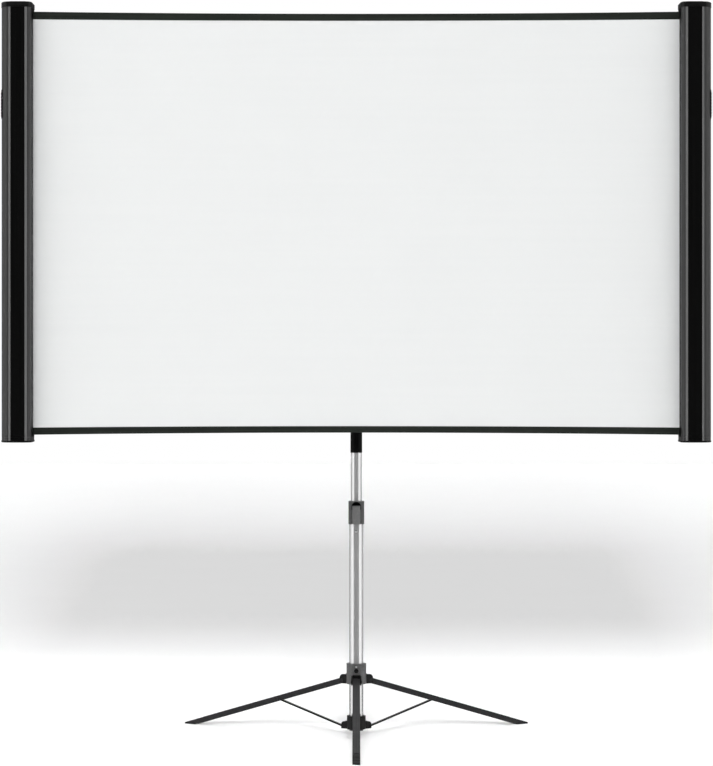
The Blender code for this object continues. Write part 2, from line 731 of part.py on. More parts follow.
def make_collar():
    """The clamp collar, with a groove in front for its flip lever."""
    side = COLLAR_RADIUS
    corner = COLLAR_CORNER_RADIUS
    front = -COLLAR_FRONT_REACH
    outline = arc((0, 0), (side, side), 0, 180, ROUND_STEPS // 2)
    outline += arc((-side + corner, front + corner), (corner, corner), 180, 270, CORNER_STEPS)
    outline += arc((side - corner, front + corner), (corner, corner), 270, 360, CORNER_STEPS)
    collar = new_object(outline_mesh([outline], COLLAR_HEIGHT))
    collar = finish_part(collar, "lock_collar", "collar")
    collar.location = (0, MAST_Y, COLLAR_BASE_HEIGHT + COLLAR_HEIGHT / 2)
    through = new_object(rod_mesh(UPPER_TUBE_RADIUS + GAP, 2 * COLLAR_HEIGHT, ROUND_STEPS))
    through.location = collar.location
    add_boolean(collar, hide_cutter(through, "collar_bore"))
    seat_height = COLLAR_HEIGHT - COLLAR_SHOULDER_HEIGHT + CUT_OVERRUN
    seat = new_object(rod_mesh(LOWER_TUBE_RADIUS + GAP, seat_height, ROUND_STEPS))
    seat_top = COLLAR_TOP - COLLAR_SHOULDER_HEIGHT
    seat.location = (0, MAST_Y, seat_top - seat_height / 2)
    add_boolean(collar, hide_cutter(seat, "collar_seat"))
    depth = LEVER_GROOVE_DEPTH + CUT_OVERRUN
    mesh = outline_mesh([groove_outline()], depth)
    mesh.transform(Matrix.Rotation(math.pi / 2, 4, "X"))
    groove = new_object(mesh)
    groove.location = (0, MAST_Y - COLLAR_FRONT_REACH + LEVER_GROOVE_DEPTH - depth / 2, 0)
    add_boolean(collar, hide_cutter(groove, "collar_groove"))
    holes = new_object(rod_mesh(LEVER_TRUNNION_RADIUS + GAP, LEVER_TRUNNION_LENGTH + 2 * GAP))
    place(holes, lever_axis())
    add_boolean(collar, hide_cutter(holes, "collar_trunnion_holes"))


def groove_outline():
    """The lever's groove from the front: as wide as the lever, with a wider arch on top."""
    half = LEVER_WIDTH / 2 + GAP
    radius = LEVER_ARCH_RADIUS
    foot = COLLAR_BASE_HEIGHT - CUT_OVERRUN
    shoulder = LEVER_PIVOT_HEIGHT - LEVER_ARCH_DROP
    flare = shoulder + radius - half
    points = [(-half, foot), (half, foot), (half, shoulder), (radius, flare)]
    arch = COLLAR_TOP - COLLAR_BRIDGE - radius
    points += arc((0, arch), (radius, radius), 0, 180, 3 * CORNER_STEPS)
    return points + [(-radius, flare), (-half, shoulder)]


def lever_axis():
    centre = Matrix.Translation((0, LEVER_Y, LEVER_PIVOT_HEIGHT))
    return centre @ Matrix.Rotation(math.pi / 2, 4, "Y")


def make_lever():
    """The flip lever: a cam head on trunnions and a tongue with a finger lip."""
    head = (LEVER_HEAD_RADIUS, LEVER_HEAD_RADIUS)
    depth = LEVER_TONGUE_DEPTH
    outline = arc((0, 0), head, -20, 190, 3 * CORNER_STEPS)
    outline += [
        (-LEVER_HEAD_RADIUS, -LEVER_LENGTH + LEVER_LIP * 2),
        (-LEVER_HEAD_RADIUS - LEVER_LIP, -LEVER_LENGTH),
        (-LEVER_HEAD_RADIUS + depth / 2, -LEVER_LENGTH),
        (-LEVER_HEAD_RADIUS + depth, -LEVER_LENGTH + LEVER_LIP * 2),
        (-LEVER_HEAD_RADIUS + depth, -LEVER_HEAD_RADIUS),
    ]
    mesh = outline_mesh([outline], LEVER_WIDTH)
    mesh.transform(THICKNESS_ALONG_X)
    lever = finish_part(new_object(mesh), "lock_lever", "lever")
    lever.location = (0, LEVER_Y, LEVER_PIVOT_HEIGHT)
    pin = new_object(rod_mesh(LEVER_TRUNNION_RADIUS, LEVER_TRUNNION_LENGTH))
    place(pin, lever_axis())
    add_boolean(lever, hide_cutter(pin, "lever_trunnions"), "UNION")


def make_socket():
    """The cup under the lower arm, which drops over the top of the mast."""
    bore = UPPER_TUBE_RADIUS + GAP
    roof = SOCKET_TOP - SOCKET_CROWN
    profile = [
        (0, SOCKET_TOP), (SOCKET_RADIUS, SOCKET_TOP), (SOCKET_RADIUS, SOCKET_FOOT),
        (bore, SOCKET_FOOT), (bore, roof), (0, roof),
    ]
    socket = finish_part(turned_object(profile), "mast_socket", "black_tube")
    socket.location = (0, MAST_Y, 0)


def arm_section(stage):
    """Outer width and height of an arm section: 0 sleeve, 1 middle, 2 end."""
    shrink = 2 * stage * (ARM_WALL + GAP)
    return ARM_DEPTH - shrink, ARM_HEIGHT - shrink


def make_arm(name, stage, start, end, height, key):
    """A box tube along X between two places."""
    depth, tall = arm_section(stage)
    corner = ARM_CORNER_RADIUS - stage * GAP
    outer = rounded_rectangle(depth, tall, corner)
    inner = rounded_rectangle(depth - 2 * ARM_WALL, tall - 2 * ARM_WALL, corner - ARM_WALL)
    mesh = outline_mesh([outer, inner], end - start)
    mesh.transform(THICKNESS_ALONG_X)
    arm = finish_part(new_object(mesh), name, key)
    arm.location = ((start + end) / 2, ARM_Y, height)
    return arm


def make_arms():
    """Sleeves, middle tubes and end tubes of the lower and the upper arms."""
    end = CASE_INNER_FACE + END_ARM_CASE_DEPTH
    middle_end = MIDDLE_ARM_INNER_END + MIDDLE_ARM_LENGTH
    for level, height in (("lower", LOWER_ARM_CENTRE), ("upper", UPPER_ARM_CENTRE)):
        half = SLEEVE_HALF_LENGTH
        sleeve = make_arm(level + "_sleeve", 0, -half, half, height, "black_tube")
        for side_name, side in SIDES:
            inner, outer = sorted((side * MIDDLE_ARM_INNER_END, side * middle_end))
            name = side_name + "_" + level
            middle = make_arm(name + "_middle_tube", 1, inner, outer, height, "alloy")
            middle_origin = Vector((side * MIDDLE_ARM_INNER_END, ARM_Y, height))
            ride(pivot_empty(name + "_middle_axis", middle_origin), middle)
            inner, outer = sorted((side * END_ARM_INNER_END, side * end))
            tube = make_arm(name + "_end_tube", 2, inner, outer, height, "alloy")
            end_origin = Vector((side * END_ARM_INNER_END, ARM_Y, height))
            ride(pivot_empty(name + "_end_axis", end_origin), tube)
            if level == "lower":
                make_arm_knob(side_name, side, sleeve)


def make_arm_knob(side_name, side, sleeve):
    """A thumb screw on the back of the lower sleeve, which holds the middle tube."""
    back = ARM_Y + ARM_DEPTH / 2
    centre = (side * (SLEEVE_HALF_LENGTH - ARM_KNOB_INSET), back, LOWER_ARM_CENTRE)
    turn = Matrix.Translation(centre) @ Matrix.Rotation(-math.pi / 2, 4, "X")
    edge = ARM_KNOB_STEM_RADIUS / 2
    profile = [
        (0, ARM_KNOB_LENGTH), (ARM_KNOB_RADIUS - edge, ARM_KNOB_LENGTH),
        (ARM_KNOB_RADIUS, ARM_KNOB_LENGTH - edge), (ARM_KNOB_RADIUS, GAP),
        (ARM_KNOB_STEM_RADIUS, GAP), (ARM_KNOB_STEM_RADIUS, -ARM_WALL), (0, -ARM_WALL),
    ]
    knob = turned_object(profile, SMALL_STEPS)
    knob = finish_part(knob, side_name + "_arm_knob", "cap")
    place(knob, turn)
    hole = new_object(rod_mesh(ARM_KNOB_STEM_RADIUS + GAP, 2 * ARM_WALL + CUT_OVERRUN))
    place(hole, turn)
    add_boolean(sleeve, hide_cutter(hole, side_name + "_knob_hole"))


def case_curve():
    """The case's outline, counter-clockwise seen from above, from the front inner edge.

    Points are (distance out from the inner face, depth behind the front).
    """
    strip_end = CASE_STRIP_INSET + CASE_STRIP_WIDTH
    chamfer = CASE_CHAMFER_WIDTH
    inner_radius = CASE_STRIP_INSET - chamfer
    outer_radius = CASE_WIDTH - strip_end - chamfer
    drop = CASE_CHAMFER_DROP + CASE_STRIP_THICKNESS
    corner = CASE_OUTER_BACK_CORNER
    points = [(CASE_STRIP_INSET, CASE_STRIP_THICKNESS), (strip_end, CASE_STRIP_THICKNESS)]
    points += arc(
        (strip_end + chamfer, drop + OUTER_SHOULDER_DEPTH), (outer_radius, OUTER_SHOULDER_DEPTH),
        -90, 0, SHOULDER_STEPS,
    )
    points += arc((CASE_WIDTH - corner, CASE_DEPTH - corner), (corner, corner), 0, 90,
                  CORNER_STEPS)
    corner = CASE_INNER_BACK_CORNER
    points += arc((corner, CASE_DEPTH - corner), (corner, corner), 90, 180, CORNER_STEPS)
    points += arc(
        (inner_radius, drop + INNER_SHOULDER_DEPTH), (inner_radius, INNER_SHOULDER_DEPTH),
        180, 270, SHOULDER_STEPS,
    )
    return points


def split_at_slot(points):
    """Cut the outline open at the sheet's slot, on the inner face."""
    slot_depth = SHEET_Y - CASE_FRONT_Y
    behind = slot_depth + CASE_SLOT / 2
    before = slot_depth - CASE_SLOT / 2
    last_behind = max(i for i, point in enumerate(points) if point[1] > behind)
    ordered = points[last_behind + 1:] + points[:last_behind + 1]
    return ordered, before, behind


def case_section():
    """The C-shaped section of a case: its wall all round, open at the sheet's slot."""
    outside, before, behind = split_at_slot(case_curve())
    inside, _, _ = split_at_slot(offset_outline(case_curve(), -CASE_WALL))
    groove = strip_groove()
    section = [(0, before)] + with_groove(outside, groove) + [(0, behind)]
    section += [(CASE_WALL, behind)] + inside[::-1] + [(CASE_WALL, before)]
    return section


def strip_groove():
    """The two floor corners of the groove that holds the trim strip."""
    half_fit = GAP / 2
    floor = 2 * CASE_STRIP_THICKNESS
    start = CASE_STRIP_INSET - half_fit
    end = CASE_STRIP_INSET + CASE_STRIP_WIDTH + half_fit
    return start, end, floor


def with_groove(points, groove):
    """Sink the flat front between the strip's edges down to the groove's floor."""
    start, end, floor = groove
    result = []
    for x, y in points:
        if y == CASE_STRIP_THICKNESS and x == CASE_STRIP_INSET:
            result += [(start, y), (start, floor)]
        elif y == CASE_STRIP_THICKNESS:
            result += [(end, floor), (end, y)]
        else:
            result.append((x, y))
    return result


def in_world(points, side):
    """Place points of the case's section in the world, for one side."""
    placed = [(side * (CASE_INNER_FACE + x), CASE_FRONT_Y + y) for x, y in points]
    return placed if side > 0 else placed[::-1]


def upright(loops, foot, top):
    """A prism between two heights from outlines in world X and Y."""
    mesh = outline_mesh(loops, top - foot)
    mesh.transform(Matrix.Translation((0, 0, (foot + top) / 2)))
    return mesh


def make_case(side_name, side):
    """The extruded case, its trim strip, its grip and the holes for the arms."""
    section = in_world(case_section(), side)
    case = new_object(upright([section], BORE_FOOT + GAP, BORE_TOP - GAP))
    case = finish_part(case, side_name + "_case", "case")
    depth, tall = arm_section(2)
    size = (4 * CASE_WALL, depth + 2 * GAP, tall + 2 * GAP)
    centres = [Matrix.Translation((side * CASE_INNER_FACE, ARM_Y, height))
               for height in (LOWER_ARM_CENTRE, UPPER_ARM_CENTRE)]
    holes = joined_mesh([(box_mesh(size), centre) for centre in centres])
    add_boolean(case, hide_cutter(new_object(holes), side_name + "_arm_holes"))
    strip = [
        (CASE_STRIP_INSET, GAP), (CASE_STRIP_INSET + GAP, 0),
        (CASE_STRIP_INSET + CASE_STRIP_WIDTH - GAP, 0),
        (CASE_STRIP_INSET + CASE_STRIP_WIDTH, GAP),
        (CASE_STRIP_INSET + CASE_STRIP_WIDTH, 2 * CASE_STRIP_THICKNESS - GAP),
        (CASE_STRIP_INSET, 2 * CASE_STRIP_THICKNESS - GAP),
    ]
    mesh = upright([in_world(strip, side)], BORE_FOOT + GAP, BORE_TOP - GAP)
    trim = finish_part(new_object(mesh), side_name + "_trim_strip", "gloss")
    return [case, trim, make_grip(side_name, side)]


def make_grip(side_name, side):
    """A low pad round the case's outer side, to hold the case by."""
    curve = case_curve()
    outer = [point for point in curve if point[0] > CASE_WIDTH / 2
             and GRIP_FRONT_DEPTH < point[1] < GRIP_FRONT_DEPTH + GRIP_LENGTH]
    run = outer + [(CASE_WIDTH, GRIP_FRONT_DEPTH + GRIP_LENGTH)]
    near = open_offset(run, GAP)
    far = open_offset(run, GAP + GRIP_THICKNESS)
    outline = in_world(near + far[::-1], side)
    mesh = upright([outline], GRIP_TOP - GRIP_HEIGHT, GRIP_TOP)
    grip = finish_part(new_object(mesh), side_name + "_case_grip", "cap")
    add_bevel(grip, GRIP_EDGE, 1)
    return grip


def open_offset(points, distance):
    """Offset an open run of points to its right-hand side."""
    moved = []
    last = len(points) - 1
    for i in range(last + 1):
        before = Vector(points[max(i - 1, 0)])
        after = Vector(points[min(i + 1, last)])
        along = (after - before).normalized()
        moved.append((points[i][0] + along.y * distance, points[i][1] - along.x * distance))
    return moved


def make_end_caps(side_name, side):
    """Moulded caps that close a case and carry the roller's shaft."""
    outline = in_world(offset_outline(case_curve(), END_CAP_LIP), side)
    caps = []
    centre = Vector((side * CASE_CENTRE_X, ROLLER_Y, 0))
    for name, foot, top, seat in (
        ("top", BORE_TOP, CASE_TOP, BORE_TOP),
        ("bottom", CASE_FOOT, BORE_FOOT, BORE_FOOT),
    ):
        cap = new_object(upright([outline], foot, top))
        cap = finish_part(cap, side_name + "_" + name + "_cap", "cap")
        add_bevel(cap, END_CAP_EDGE)
        blind = 2 * (SHAFT_SEAT_DEPTH + GAP)
        hole = new_object(rod_mesh(ROLLER_SHAFT_RADIUS + GAP, blind))
        hole.location = centre + Vector((0, 0, seat))
        add_boolean(cap, hide_cutter(hole, side_name + "_" + name + "_shaft_seat"))
        caps.append(cap)
    return caps


def make_roller(side_name, side):
    """The spring roller: shaft, spring, tube and the turns of sheet left on it."""
    centre = Vector((side * CASE_CENTRE_X, ROLLER_Y, 0))
    foot = BORE_FOOT + ROLLER_END_PLAY
    top = BORE_TOP - ROLLER_END_PLAY
    bore = ROLLER_RADIUS - ROLLER_WALL
    lip = ROLLER_SHAFT_RADIUS + GAP
    profile = [
        (ROLLER_RADIUS, top), (ROLLER_RADIUS, foot), (lip, foot), (lip, foot + ROLLER_LIP),
        (bore, foot + ROLLER_LIP), (bore, top - ROLLER_LIP), (lip, top - ROLLER_LIP), (lip, top),
    ]
    tube = turned_object(profile, SMALL_STEPS, closed=True)
    tube = finish_part(tube, side_name + "_roller_tube", "alloy")
    profile = tube_profile(WOUND_RADIUS, ROLLER_RADIUS + GAP, WOUND_FOOT, WOUND_TOP)
    wound = finish_part(turned_object(profile, ROUND_STEPS, closed=True),
                        side_name + "_wound_sheet", "sheet")
    shaft_foot = BORE_FOOT - SHAFT_SEAT_DEPTH
    shaft_top = BORE_TOP + SHAFT_SEAT_DEPTH
    shaft = new_object(rod_mesh(ROLLER_SHAFT_RADIUS, shaft_top - shaft_foot))
    shaft.data.transform(Matrix.Translation((0, 0, (shaft_foot + shaft_top) / 2)))
    shaft = finish_part(shaft, side_name + "_roller_shaft", "steel")
    spring = make_spring(side_name, foot + 2 * ROLLER_LIP)
    for piece in (tube, wound, shaft, spring):
        piece.location = centre
    return [shaft, spring], [tube, wound]


def make_spring(side_name, foot):
    """The torsion spring, wound round the shaft inside the roller."""
    radius = ROLLER_SHAFT_RADIUS + GAP + SPRING_WIRE_RADIUS * math.sqrt(2)
    curve = bpy.data.curves.new("spring", "CURVE")
    curve.dimensions = "3D"
    curve.bevel_depth = SPRING_WIRE_RADIUS
    curve.bevel_resolution = 0
    curve.use_fill_caps = True
    count = SPRING_TURNS * SPRING_TURN_POINTS
    spline = curve.splines.new("POLY")
    spline.points.add(count)
    for i, point in enumerate(spline.points):
        turn = math.tau * i / SPRING_TURN_POINTS
        height = foot + SPRING_LENGTH * i / count
        point.co = (radius * math.cos(turn), radius * math.sin(turn), height, 1)
    mesh = mesh_from_curve(curve)
    return finish_part(new_object(mesh), side_name + "_roller_spring", "steel")


def bow_line(middle, sign):
    """Edge of the sheet from left to right: lowest or highest at the cases."""
    half = CASE_CENTRE_X
    points = []
    for i in range(BOW_STEPS + 1):
        x = -half + 2 * half * i / BOW_STEPS
        share = min(abs(x) / CASE_INNER_FACE, 1)
        points.append((x, middle + sign * SHEET_BOW * share ** 2))
    return points


def border_inner_line(edge, middle_height, sign):
    """Inner edge of a border, which is a little wider at the cases."""
    points = []
    for x, z in edge:
        share = min(abs(x) / CASE_INNER_FACE, 1)
        points.append((x, z - sign * (middle_height + BORDER_FLARE * share ** 2)))
    return points


def make_sheet_piece(name, lower, upper, thickness, front, key):
    """A thin upright sheet between two edge lines, with its back at a given depth."""
    mesh = outline_mesh([lower + upper[::-1]], thickness)
    mesh.transform(Matrix.Rotation(math.pi / 2, 4, "X"))
    piece = finish_part(new_object(mesh), name, key)
    piece.location = (0, front + thickness / 2, 0)
    return piece


def make_sheet():
    """The white sheet and the black borders along its upper and lower edges."""
    top = bow_line(SHEET_TOP_MIDDLE, 1)
    foot = bow_line(SHEET_FOOT_MIDDLE, -1)
    sheet_front = SHEET_Y - SHEET_THICKNESS / 2
    make_sheet_piece("screen_sheet", foot, top, SHEET_THICKNESS, sheet_front, "sheet")
    top_inner = border_inner_line(top, TOP_BORDER_HEIGHT, 1)
    foot_inner = border_inner_line(foot, FOOT_BORDER_HEIGHT, -1)
    make_sheet_piece("top_border", top_inner, top, BORDER_THICKNESS, BORDER_FRONT, "border")
    make_sheet_piece("bottom_border", foot, foot_inner, BORDER_THICKNESS, BORDER_FRONT, "border")


def make_cases():
    for side_name, side in SIDES:
        fixed = make_case(side_name, side) + make_end_caps(side_name, side)
        inner, turning = make_roller(side_name, side)
        empty = pivot_empty(side_name + "_case_axis", Vector((side * CASE_INNER_FACE, ARM_Y, 0)))
        ride(empty, *(fixed + inner))
        roller_axis = Vector((side * CASE_CENTRE_X, ROLLER_Y, 0))
        ride(pivot_empty(side_name + "_roller_axis", roller_axis), *turning)


def main():
    make_tripod()
    make_mast()
    make_collar()
    make_lever()
    make_socket()
    make_arms()
    make_cases()
    make_sheet()


main()
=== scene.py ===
"""Looks of the portable projection screen on its folding tripod.

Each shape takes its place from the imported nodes. Metres, +Z up, the viewer towards -Y.
"""
import json
import math

import bmesh
import bpy
from mathutils import Matrix, Vector


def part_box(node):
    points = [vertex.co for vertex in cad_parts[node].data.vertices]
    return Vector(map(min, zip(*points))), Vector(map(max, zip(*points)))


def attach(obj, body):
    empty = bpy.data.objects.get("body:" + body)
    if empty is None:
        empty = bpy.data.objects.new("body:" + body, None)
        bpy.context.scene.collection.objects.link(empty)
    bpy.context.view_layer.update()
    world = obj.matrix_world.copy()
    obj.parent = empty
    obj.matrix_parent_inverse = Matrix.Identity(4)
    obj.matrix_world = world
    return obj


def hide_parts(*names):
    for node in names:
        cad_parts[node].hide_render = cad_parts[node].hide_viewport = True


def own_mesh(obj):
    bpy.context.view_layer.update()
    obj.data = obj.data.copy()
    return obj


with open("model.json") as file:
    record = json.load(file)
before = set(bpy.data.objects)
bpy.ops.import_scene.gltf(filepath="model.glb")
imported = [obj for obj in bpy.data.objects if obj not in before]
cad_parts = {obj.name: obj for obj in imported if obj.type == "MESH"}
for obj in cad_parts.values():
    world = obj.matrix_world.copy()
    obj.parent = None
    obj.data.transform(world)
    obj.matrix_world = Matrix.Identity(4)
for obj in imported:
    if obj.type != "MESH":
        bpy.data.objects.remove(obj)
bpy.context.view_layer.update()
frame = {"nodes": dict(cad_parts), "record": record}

# Camera, as fitted to the photo
IMAGE_LONG_SIDE = 766
FOCAL_PIXELS = 2906
HORIZON_RISE_PIXELS = 33
CENTRE_LEFT_PIXELS = 0.2
SENSOR_MILLIMETRES = 36
CAMERA_DISTANCE = 7.127
CAMERA_HEIGHT = 0.947

# Lamps, measured from the mast's foot
KEY_PLACE = (-1.4, -5.0, 2.6)
KEY_SIZE = 1.3
KEY_WATTS = 46
KEY_AIM_HEIGHT = 1.0
FLOOR_LAMP_PLACE = (0, -5.85, 2.72)
FLOOR_LAMP_SIZE = 1.3
FLOOR_LAMP_WATTS = 1.6
FLOOR_LAMP_AIM = 3.0
SKY_LIGHT = 0.74

# Floor
FLOOR_WIDTH = 40
FLOOR_FRONT = 8.0
FLOOR_BACK = 17.0
FLOOR_TONES = (0.93, 0.95)
FLOOR_PATCHES = (3, 3, 3)
FLOOR_ROUGHNESS = 0.9

# What a shiny surface mirrors, by the angle in degrees away from the viewer's side
FRONT_DARK = 0.23
SOFTBOX_BRIGHT = 1.8
BACK_GREY = 0.12
SOFTBOX_RISE = (45, 58)
SOFTBOX_FALL = (62, 148)

# The mirrored ceiling comes in between two upward shares of the direction
CEILING_BRIGHT = 2.0
CEILING_RISE = (0.45, 0.75)

# Grain of the materials
NOISE_DETAIL = 4
NOISE_RANGE = (0.3, 0.7)
BUMP_STRENGTH = 0.6

# Sheet
SHEET_BOW = 0.0052
BORDER_FLARE = 0.0016
TOP_BORDER_HEIGHT = 0.0171
FOOT_BORDER_HEIGHT = 0.0159
BORDER_ROWS = 2
SHEET_RELIEF = 0.0002
RELIEF_WAVE = 0.31
SHEET_COLUMNS = 120
SHEET_ROWS = 48
WOUND_TURNS = 4
WOUND_CLOTH = 0.00022
WOUND_FIT = 0.0003
TURN_STEPS = 48

# Cases, as (distance out from the inner face, depth behind the front)
STRIP_INSET = 0.0155
STRIP_WIDTH = 0.034
STRIP_END = STRIP_INSET + STRIP_WIDTH
STRIP_THICKNESS = 0.0012
CHAMFER_WIDTH = 0.0055
CHAMFER_DROP = 0.0036
CHAMFER_END = CHAMFER_DROP + STRIP_THICKNESS
INNER_SHOULDER = 0.017
OUTER_SHOULDER = 0.0395
OUTER_BACK_CORNER = 0.012
INNER_BACK_CORNER = 0.0035
CASE_WALL = 0.0022
CASE_SLOT = 0.004
DARK_STRIP_THICKNESS = 0.0008
SHOULDER_STEPS = 16
CAP_LIP = 0.0008
CAP_EDGE = 0.0018
CAP_EDGE_ANGLES = (0, 22, 45, 68, 90)
CAP_INNER_EDGE = CAP_EDGE / 3
CAP_PANEL_SHARE = 0.86
CAP_PANEL_SLOPE_SHARE = 0.02
CAP_PANEL_DROP = 0.0009
CAP_PLATE = 0.0045
GRIP_START = 0.018
GRIP_LENGTH = 0.042
GRIP_THICKNESS = 0.0017
GRIP_RAMP = 0.008
GRIP_END_SHARE = 0.25
GRIP_RIBS = 9
GRIP_RIB_DEPTH = 0.0005
GRIP_ROWS = 72

# Tripod
LEG_COUNT = 3
LEG_NAMES = ("front", "right", "left")
FOOT_REACH = 0.497
LEG_WIDTH = 0.018
LEG_DEPTH = 0.013
LEG_WALL = 0.0016
LEG_CORNER = 0.0009
LEG_BEAD_WIDTH = 0.007
LEG_BEAD_HEIGHT = 0.0005
LEG_PIVOT_RADIUS = 0.0345
LEG_PIVOT_HEIGHT = 0.1366
LEG_FOOT_DROP = 0.003
LEG_OVERHANG = 0.006
FOOT_CAP_LENGTH = 0.056
FOOT_PLUG_LENGTH = 0.012
FOOT_SOLE = 0.0034
FOOT_RIBS = (0.0, 0.024, 0.039)
FOOT_RIB_WIDTH = 0.003
FOOT_RIB_DEPTH = 0.0005
STAY_WIDTH = 0.008
LEG_HUB_RADIUS = 0.02425
LEG_EAR_HEIGHT = 0.0232
BASE_HUB_RADIUS = 0.023
STAY_EAR_HEIGHT = 0.0179
EAR_CORNER_SHARE = 0.45
EAR_FOOT_CORNER = 0.001
HUB_CHEEK = 0.003
HUB_LIP = 0.0012
HUB_BAND = 0.0035
BUTTON_RISE = 0.0086
BUTTON_RADIUS = 0.0026
BUTTON_CROWN_ANGLE = 80
SCREW_LOBES = 6
SCREW_LOBE_STEPS = 8
SCREW_FLUTE = 0.10
SCREW_HEAD_SHARE = 1.1
SCREW_EDGE_SHARE = 0.15
SCREW_STEM_SHARE = 0.4
SCREW_SOCKET_SHARE = 0.5
SCREW_SOCKET_DEPTH_SHARE = 0.6

# Collar, lever and the socket over them
LEVER_GROOVE_DEPTH = 0.0125
LEVER_ARCH_RADIUS = 0.0118
LEVER_ARCH_DROP = 0.0056
COLLAR_BRIDGE = 0.0012
COLLAR_CORNER = 0.004
COLLAR_EDGE = 0.001
LEVER_HEAD_RADIUS = 0.006
LEVER_HEAD_ARC = (-20, 190)
LEVER_WIDTH = 0.0196
LEVER_TONGUE = 0.005
LEVER_LIP = 0.003
LEVER_EDGE = 0.0007
SOCKET_EDGE_SHARE = 0.8
SOCKET_EDGE_ARC = (-60, 0)
SOCKET_EDGE_STEPS = 2

# Faceting and fits
ROUND_STEPS = 64
SMALL_STEPS = 32
CORNER_STEPS = 6
FIT = 0.0003
OVERRUN = 0.004
SMOOTH_ANGLE = math.radians(35)

RECORD = frame["record"]
SLOT_OF = {row["node"]: row["material_slot"] for row in RECORD["subparts"]}
BODY_OF = {node: body for body, nodes in RECORD["behaviour"]["bodies"].items() for node in nodes}
SIDES = (("left", -1), ("right", 1))
IDENTITY = Matrix.Identity(4)


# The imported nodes' lowest and highest corners and middles, at rest

def low(node):
    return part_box(node)[0]


def high(node):
    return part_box(node)[1]


def centre(node):
    return (low(node) + high(node)) / 2


MAST = centre("lower_tube")
THIRD_TURN = math.tau / LEG_COUNT
LEG_SLOPE = math.atan2(LEG_PIVOT_HEIGHT + LEG_FOOT_DROP, FOOT_REACH - LEG_PIVOT_RADIUS)
LEG_RUN = (FOOT_REACH - LEG_PIVOT_RADIUS) / math.cos(LEG_SLOPE)


# Shader nodes

def add_node(tree, kind, inputs=None, **settings):
    """A shader node. An input is either a value or another node's output."""
    node = tree.nodes.new("ShaderNode" + kind)
    for name, value in settings.items():
        setattr(node, name, value)
    for name, value in (inputs or {}).items():
        if isinstance(value, bpy.types.NodeSocket):
            tree.links.new(value, node.inputs[name])
        else:
            node.inputs[name].default_value = value
    return node


def calculate(tree, operation, *values):
    return add_node(tree, "Math", dict(enumerate(values)), operation=operation).outputs["Value"]


def ramp(tree, value, start, end, first, last):
    """Map a value's run from start to end onto the run from first to last, and hold there."""
    return add_node(tree, "MapRange", {"Value": value, "From Min": start, "From Max": end,
                                       "To Min": first, "To Max": last}).outputs["Result"]


def mix(tree, kind, factor, first, second):
    """Blend two values or colours, from the first one to the second."""
    return add_node(tree, "Mix", {"Factor": factor, "A": first, "B": second},
                    data_type=kind).outputs["Result"]


def noise(tree, stretch):
    """Noise whose grain per metre is given for each axis, fixed to the piece."""
    coordinates = add_node(tree, "TexCoord")
    mapping = add_node(tree, "Mapping", {"Vector": coordinates.outputs["Object"],
                                         "Scale": stretch})
    return add_node(tree, "TexNoise", {"Vector": mapping.outputs["Vector"], "Scale": 1.0,
                                       "Detail": NOISE_DETAIL}).outputs["Fac"]


def weave(tree, threads):
    """Crossed threads, as many per metre as given, across X and across Z."""
    coordinates = add_node(tree, "TexCoord").outputs["Object"]
    waves = [add_node(tree, "TexWave", {"Vector": coordinates, "Scale": threads / math.tau,
                                        "Distortion": 0.0}, bands_direction=axis)
             for axis in ("X", "Z")]
    return calculate(tree, "MULTIPLY", *(wave.outputs["Fac"] for wave in waves))


# Materials

def make_material(name, dark, light, roughness, stretch, relief, grain=None, threads=0,
                  metallic=0.0, specular=0.5):
    """Colour drifts between two tones, roughness drifts with it, and a grain stands proud."""
    material = bpy.data.materials.new(name + "_look")
    material.use_nodes = True
    tree = material.node_tree
    shader = tree.nodes["Principled BSDF"]
    shader.inputs["Metallic"].default_value = metallic
    shader.inputs["Specular IOR Level"].default_value = specular
    drift = noise(tree, stretch)
    colour = mix(tree, "RGBA", ramp(tree, drift, *NOISE_RANGE, 0.0, 1.0), (*dark, 1), (*light, 1))
    tree.links.new(colour, shader.inputs["Base Color"])
    tree.links.new(ramp(tree, drift, *NOISE_RANGE, *roughness), shader.inputs["Roughness"])
    height = weave(tree, threads) if threads else noise(tree, grain)
    bump = add_node(tree, "Bump", {"Height": height, "Distance": relief,
                                   "Strength": BUMP_STRENGTH})
    tree.links.new(bump.outputs["Normal"], shader.inputs["Normal"])
    return material


def grey(value, blue=1.0):
    return (value, value, value * blue)


def even(count):
    return (count, count, count)


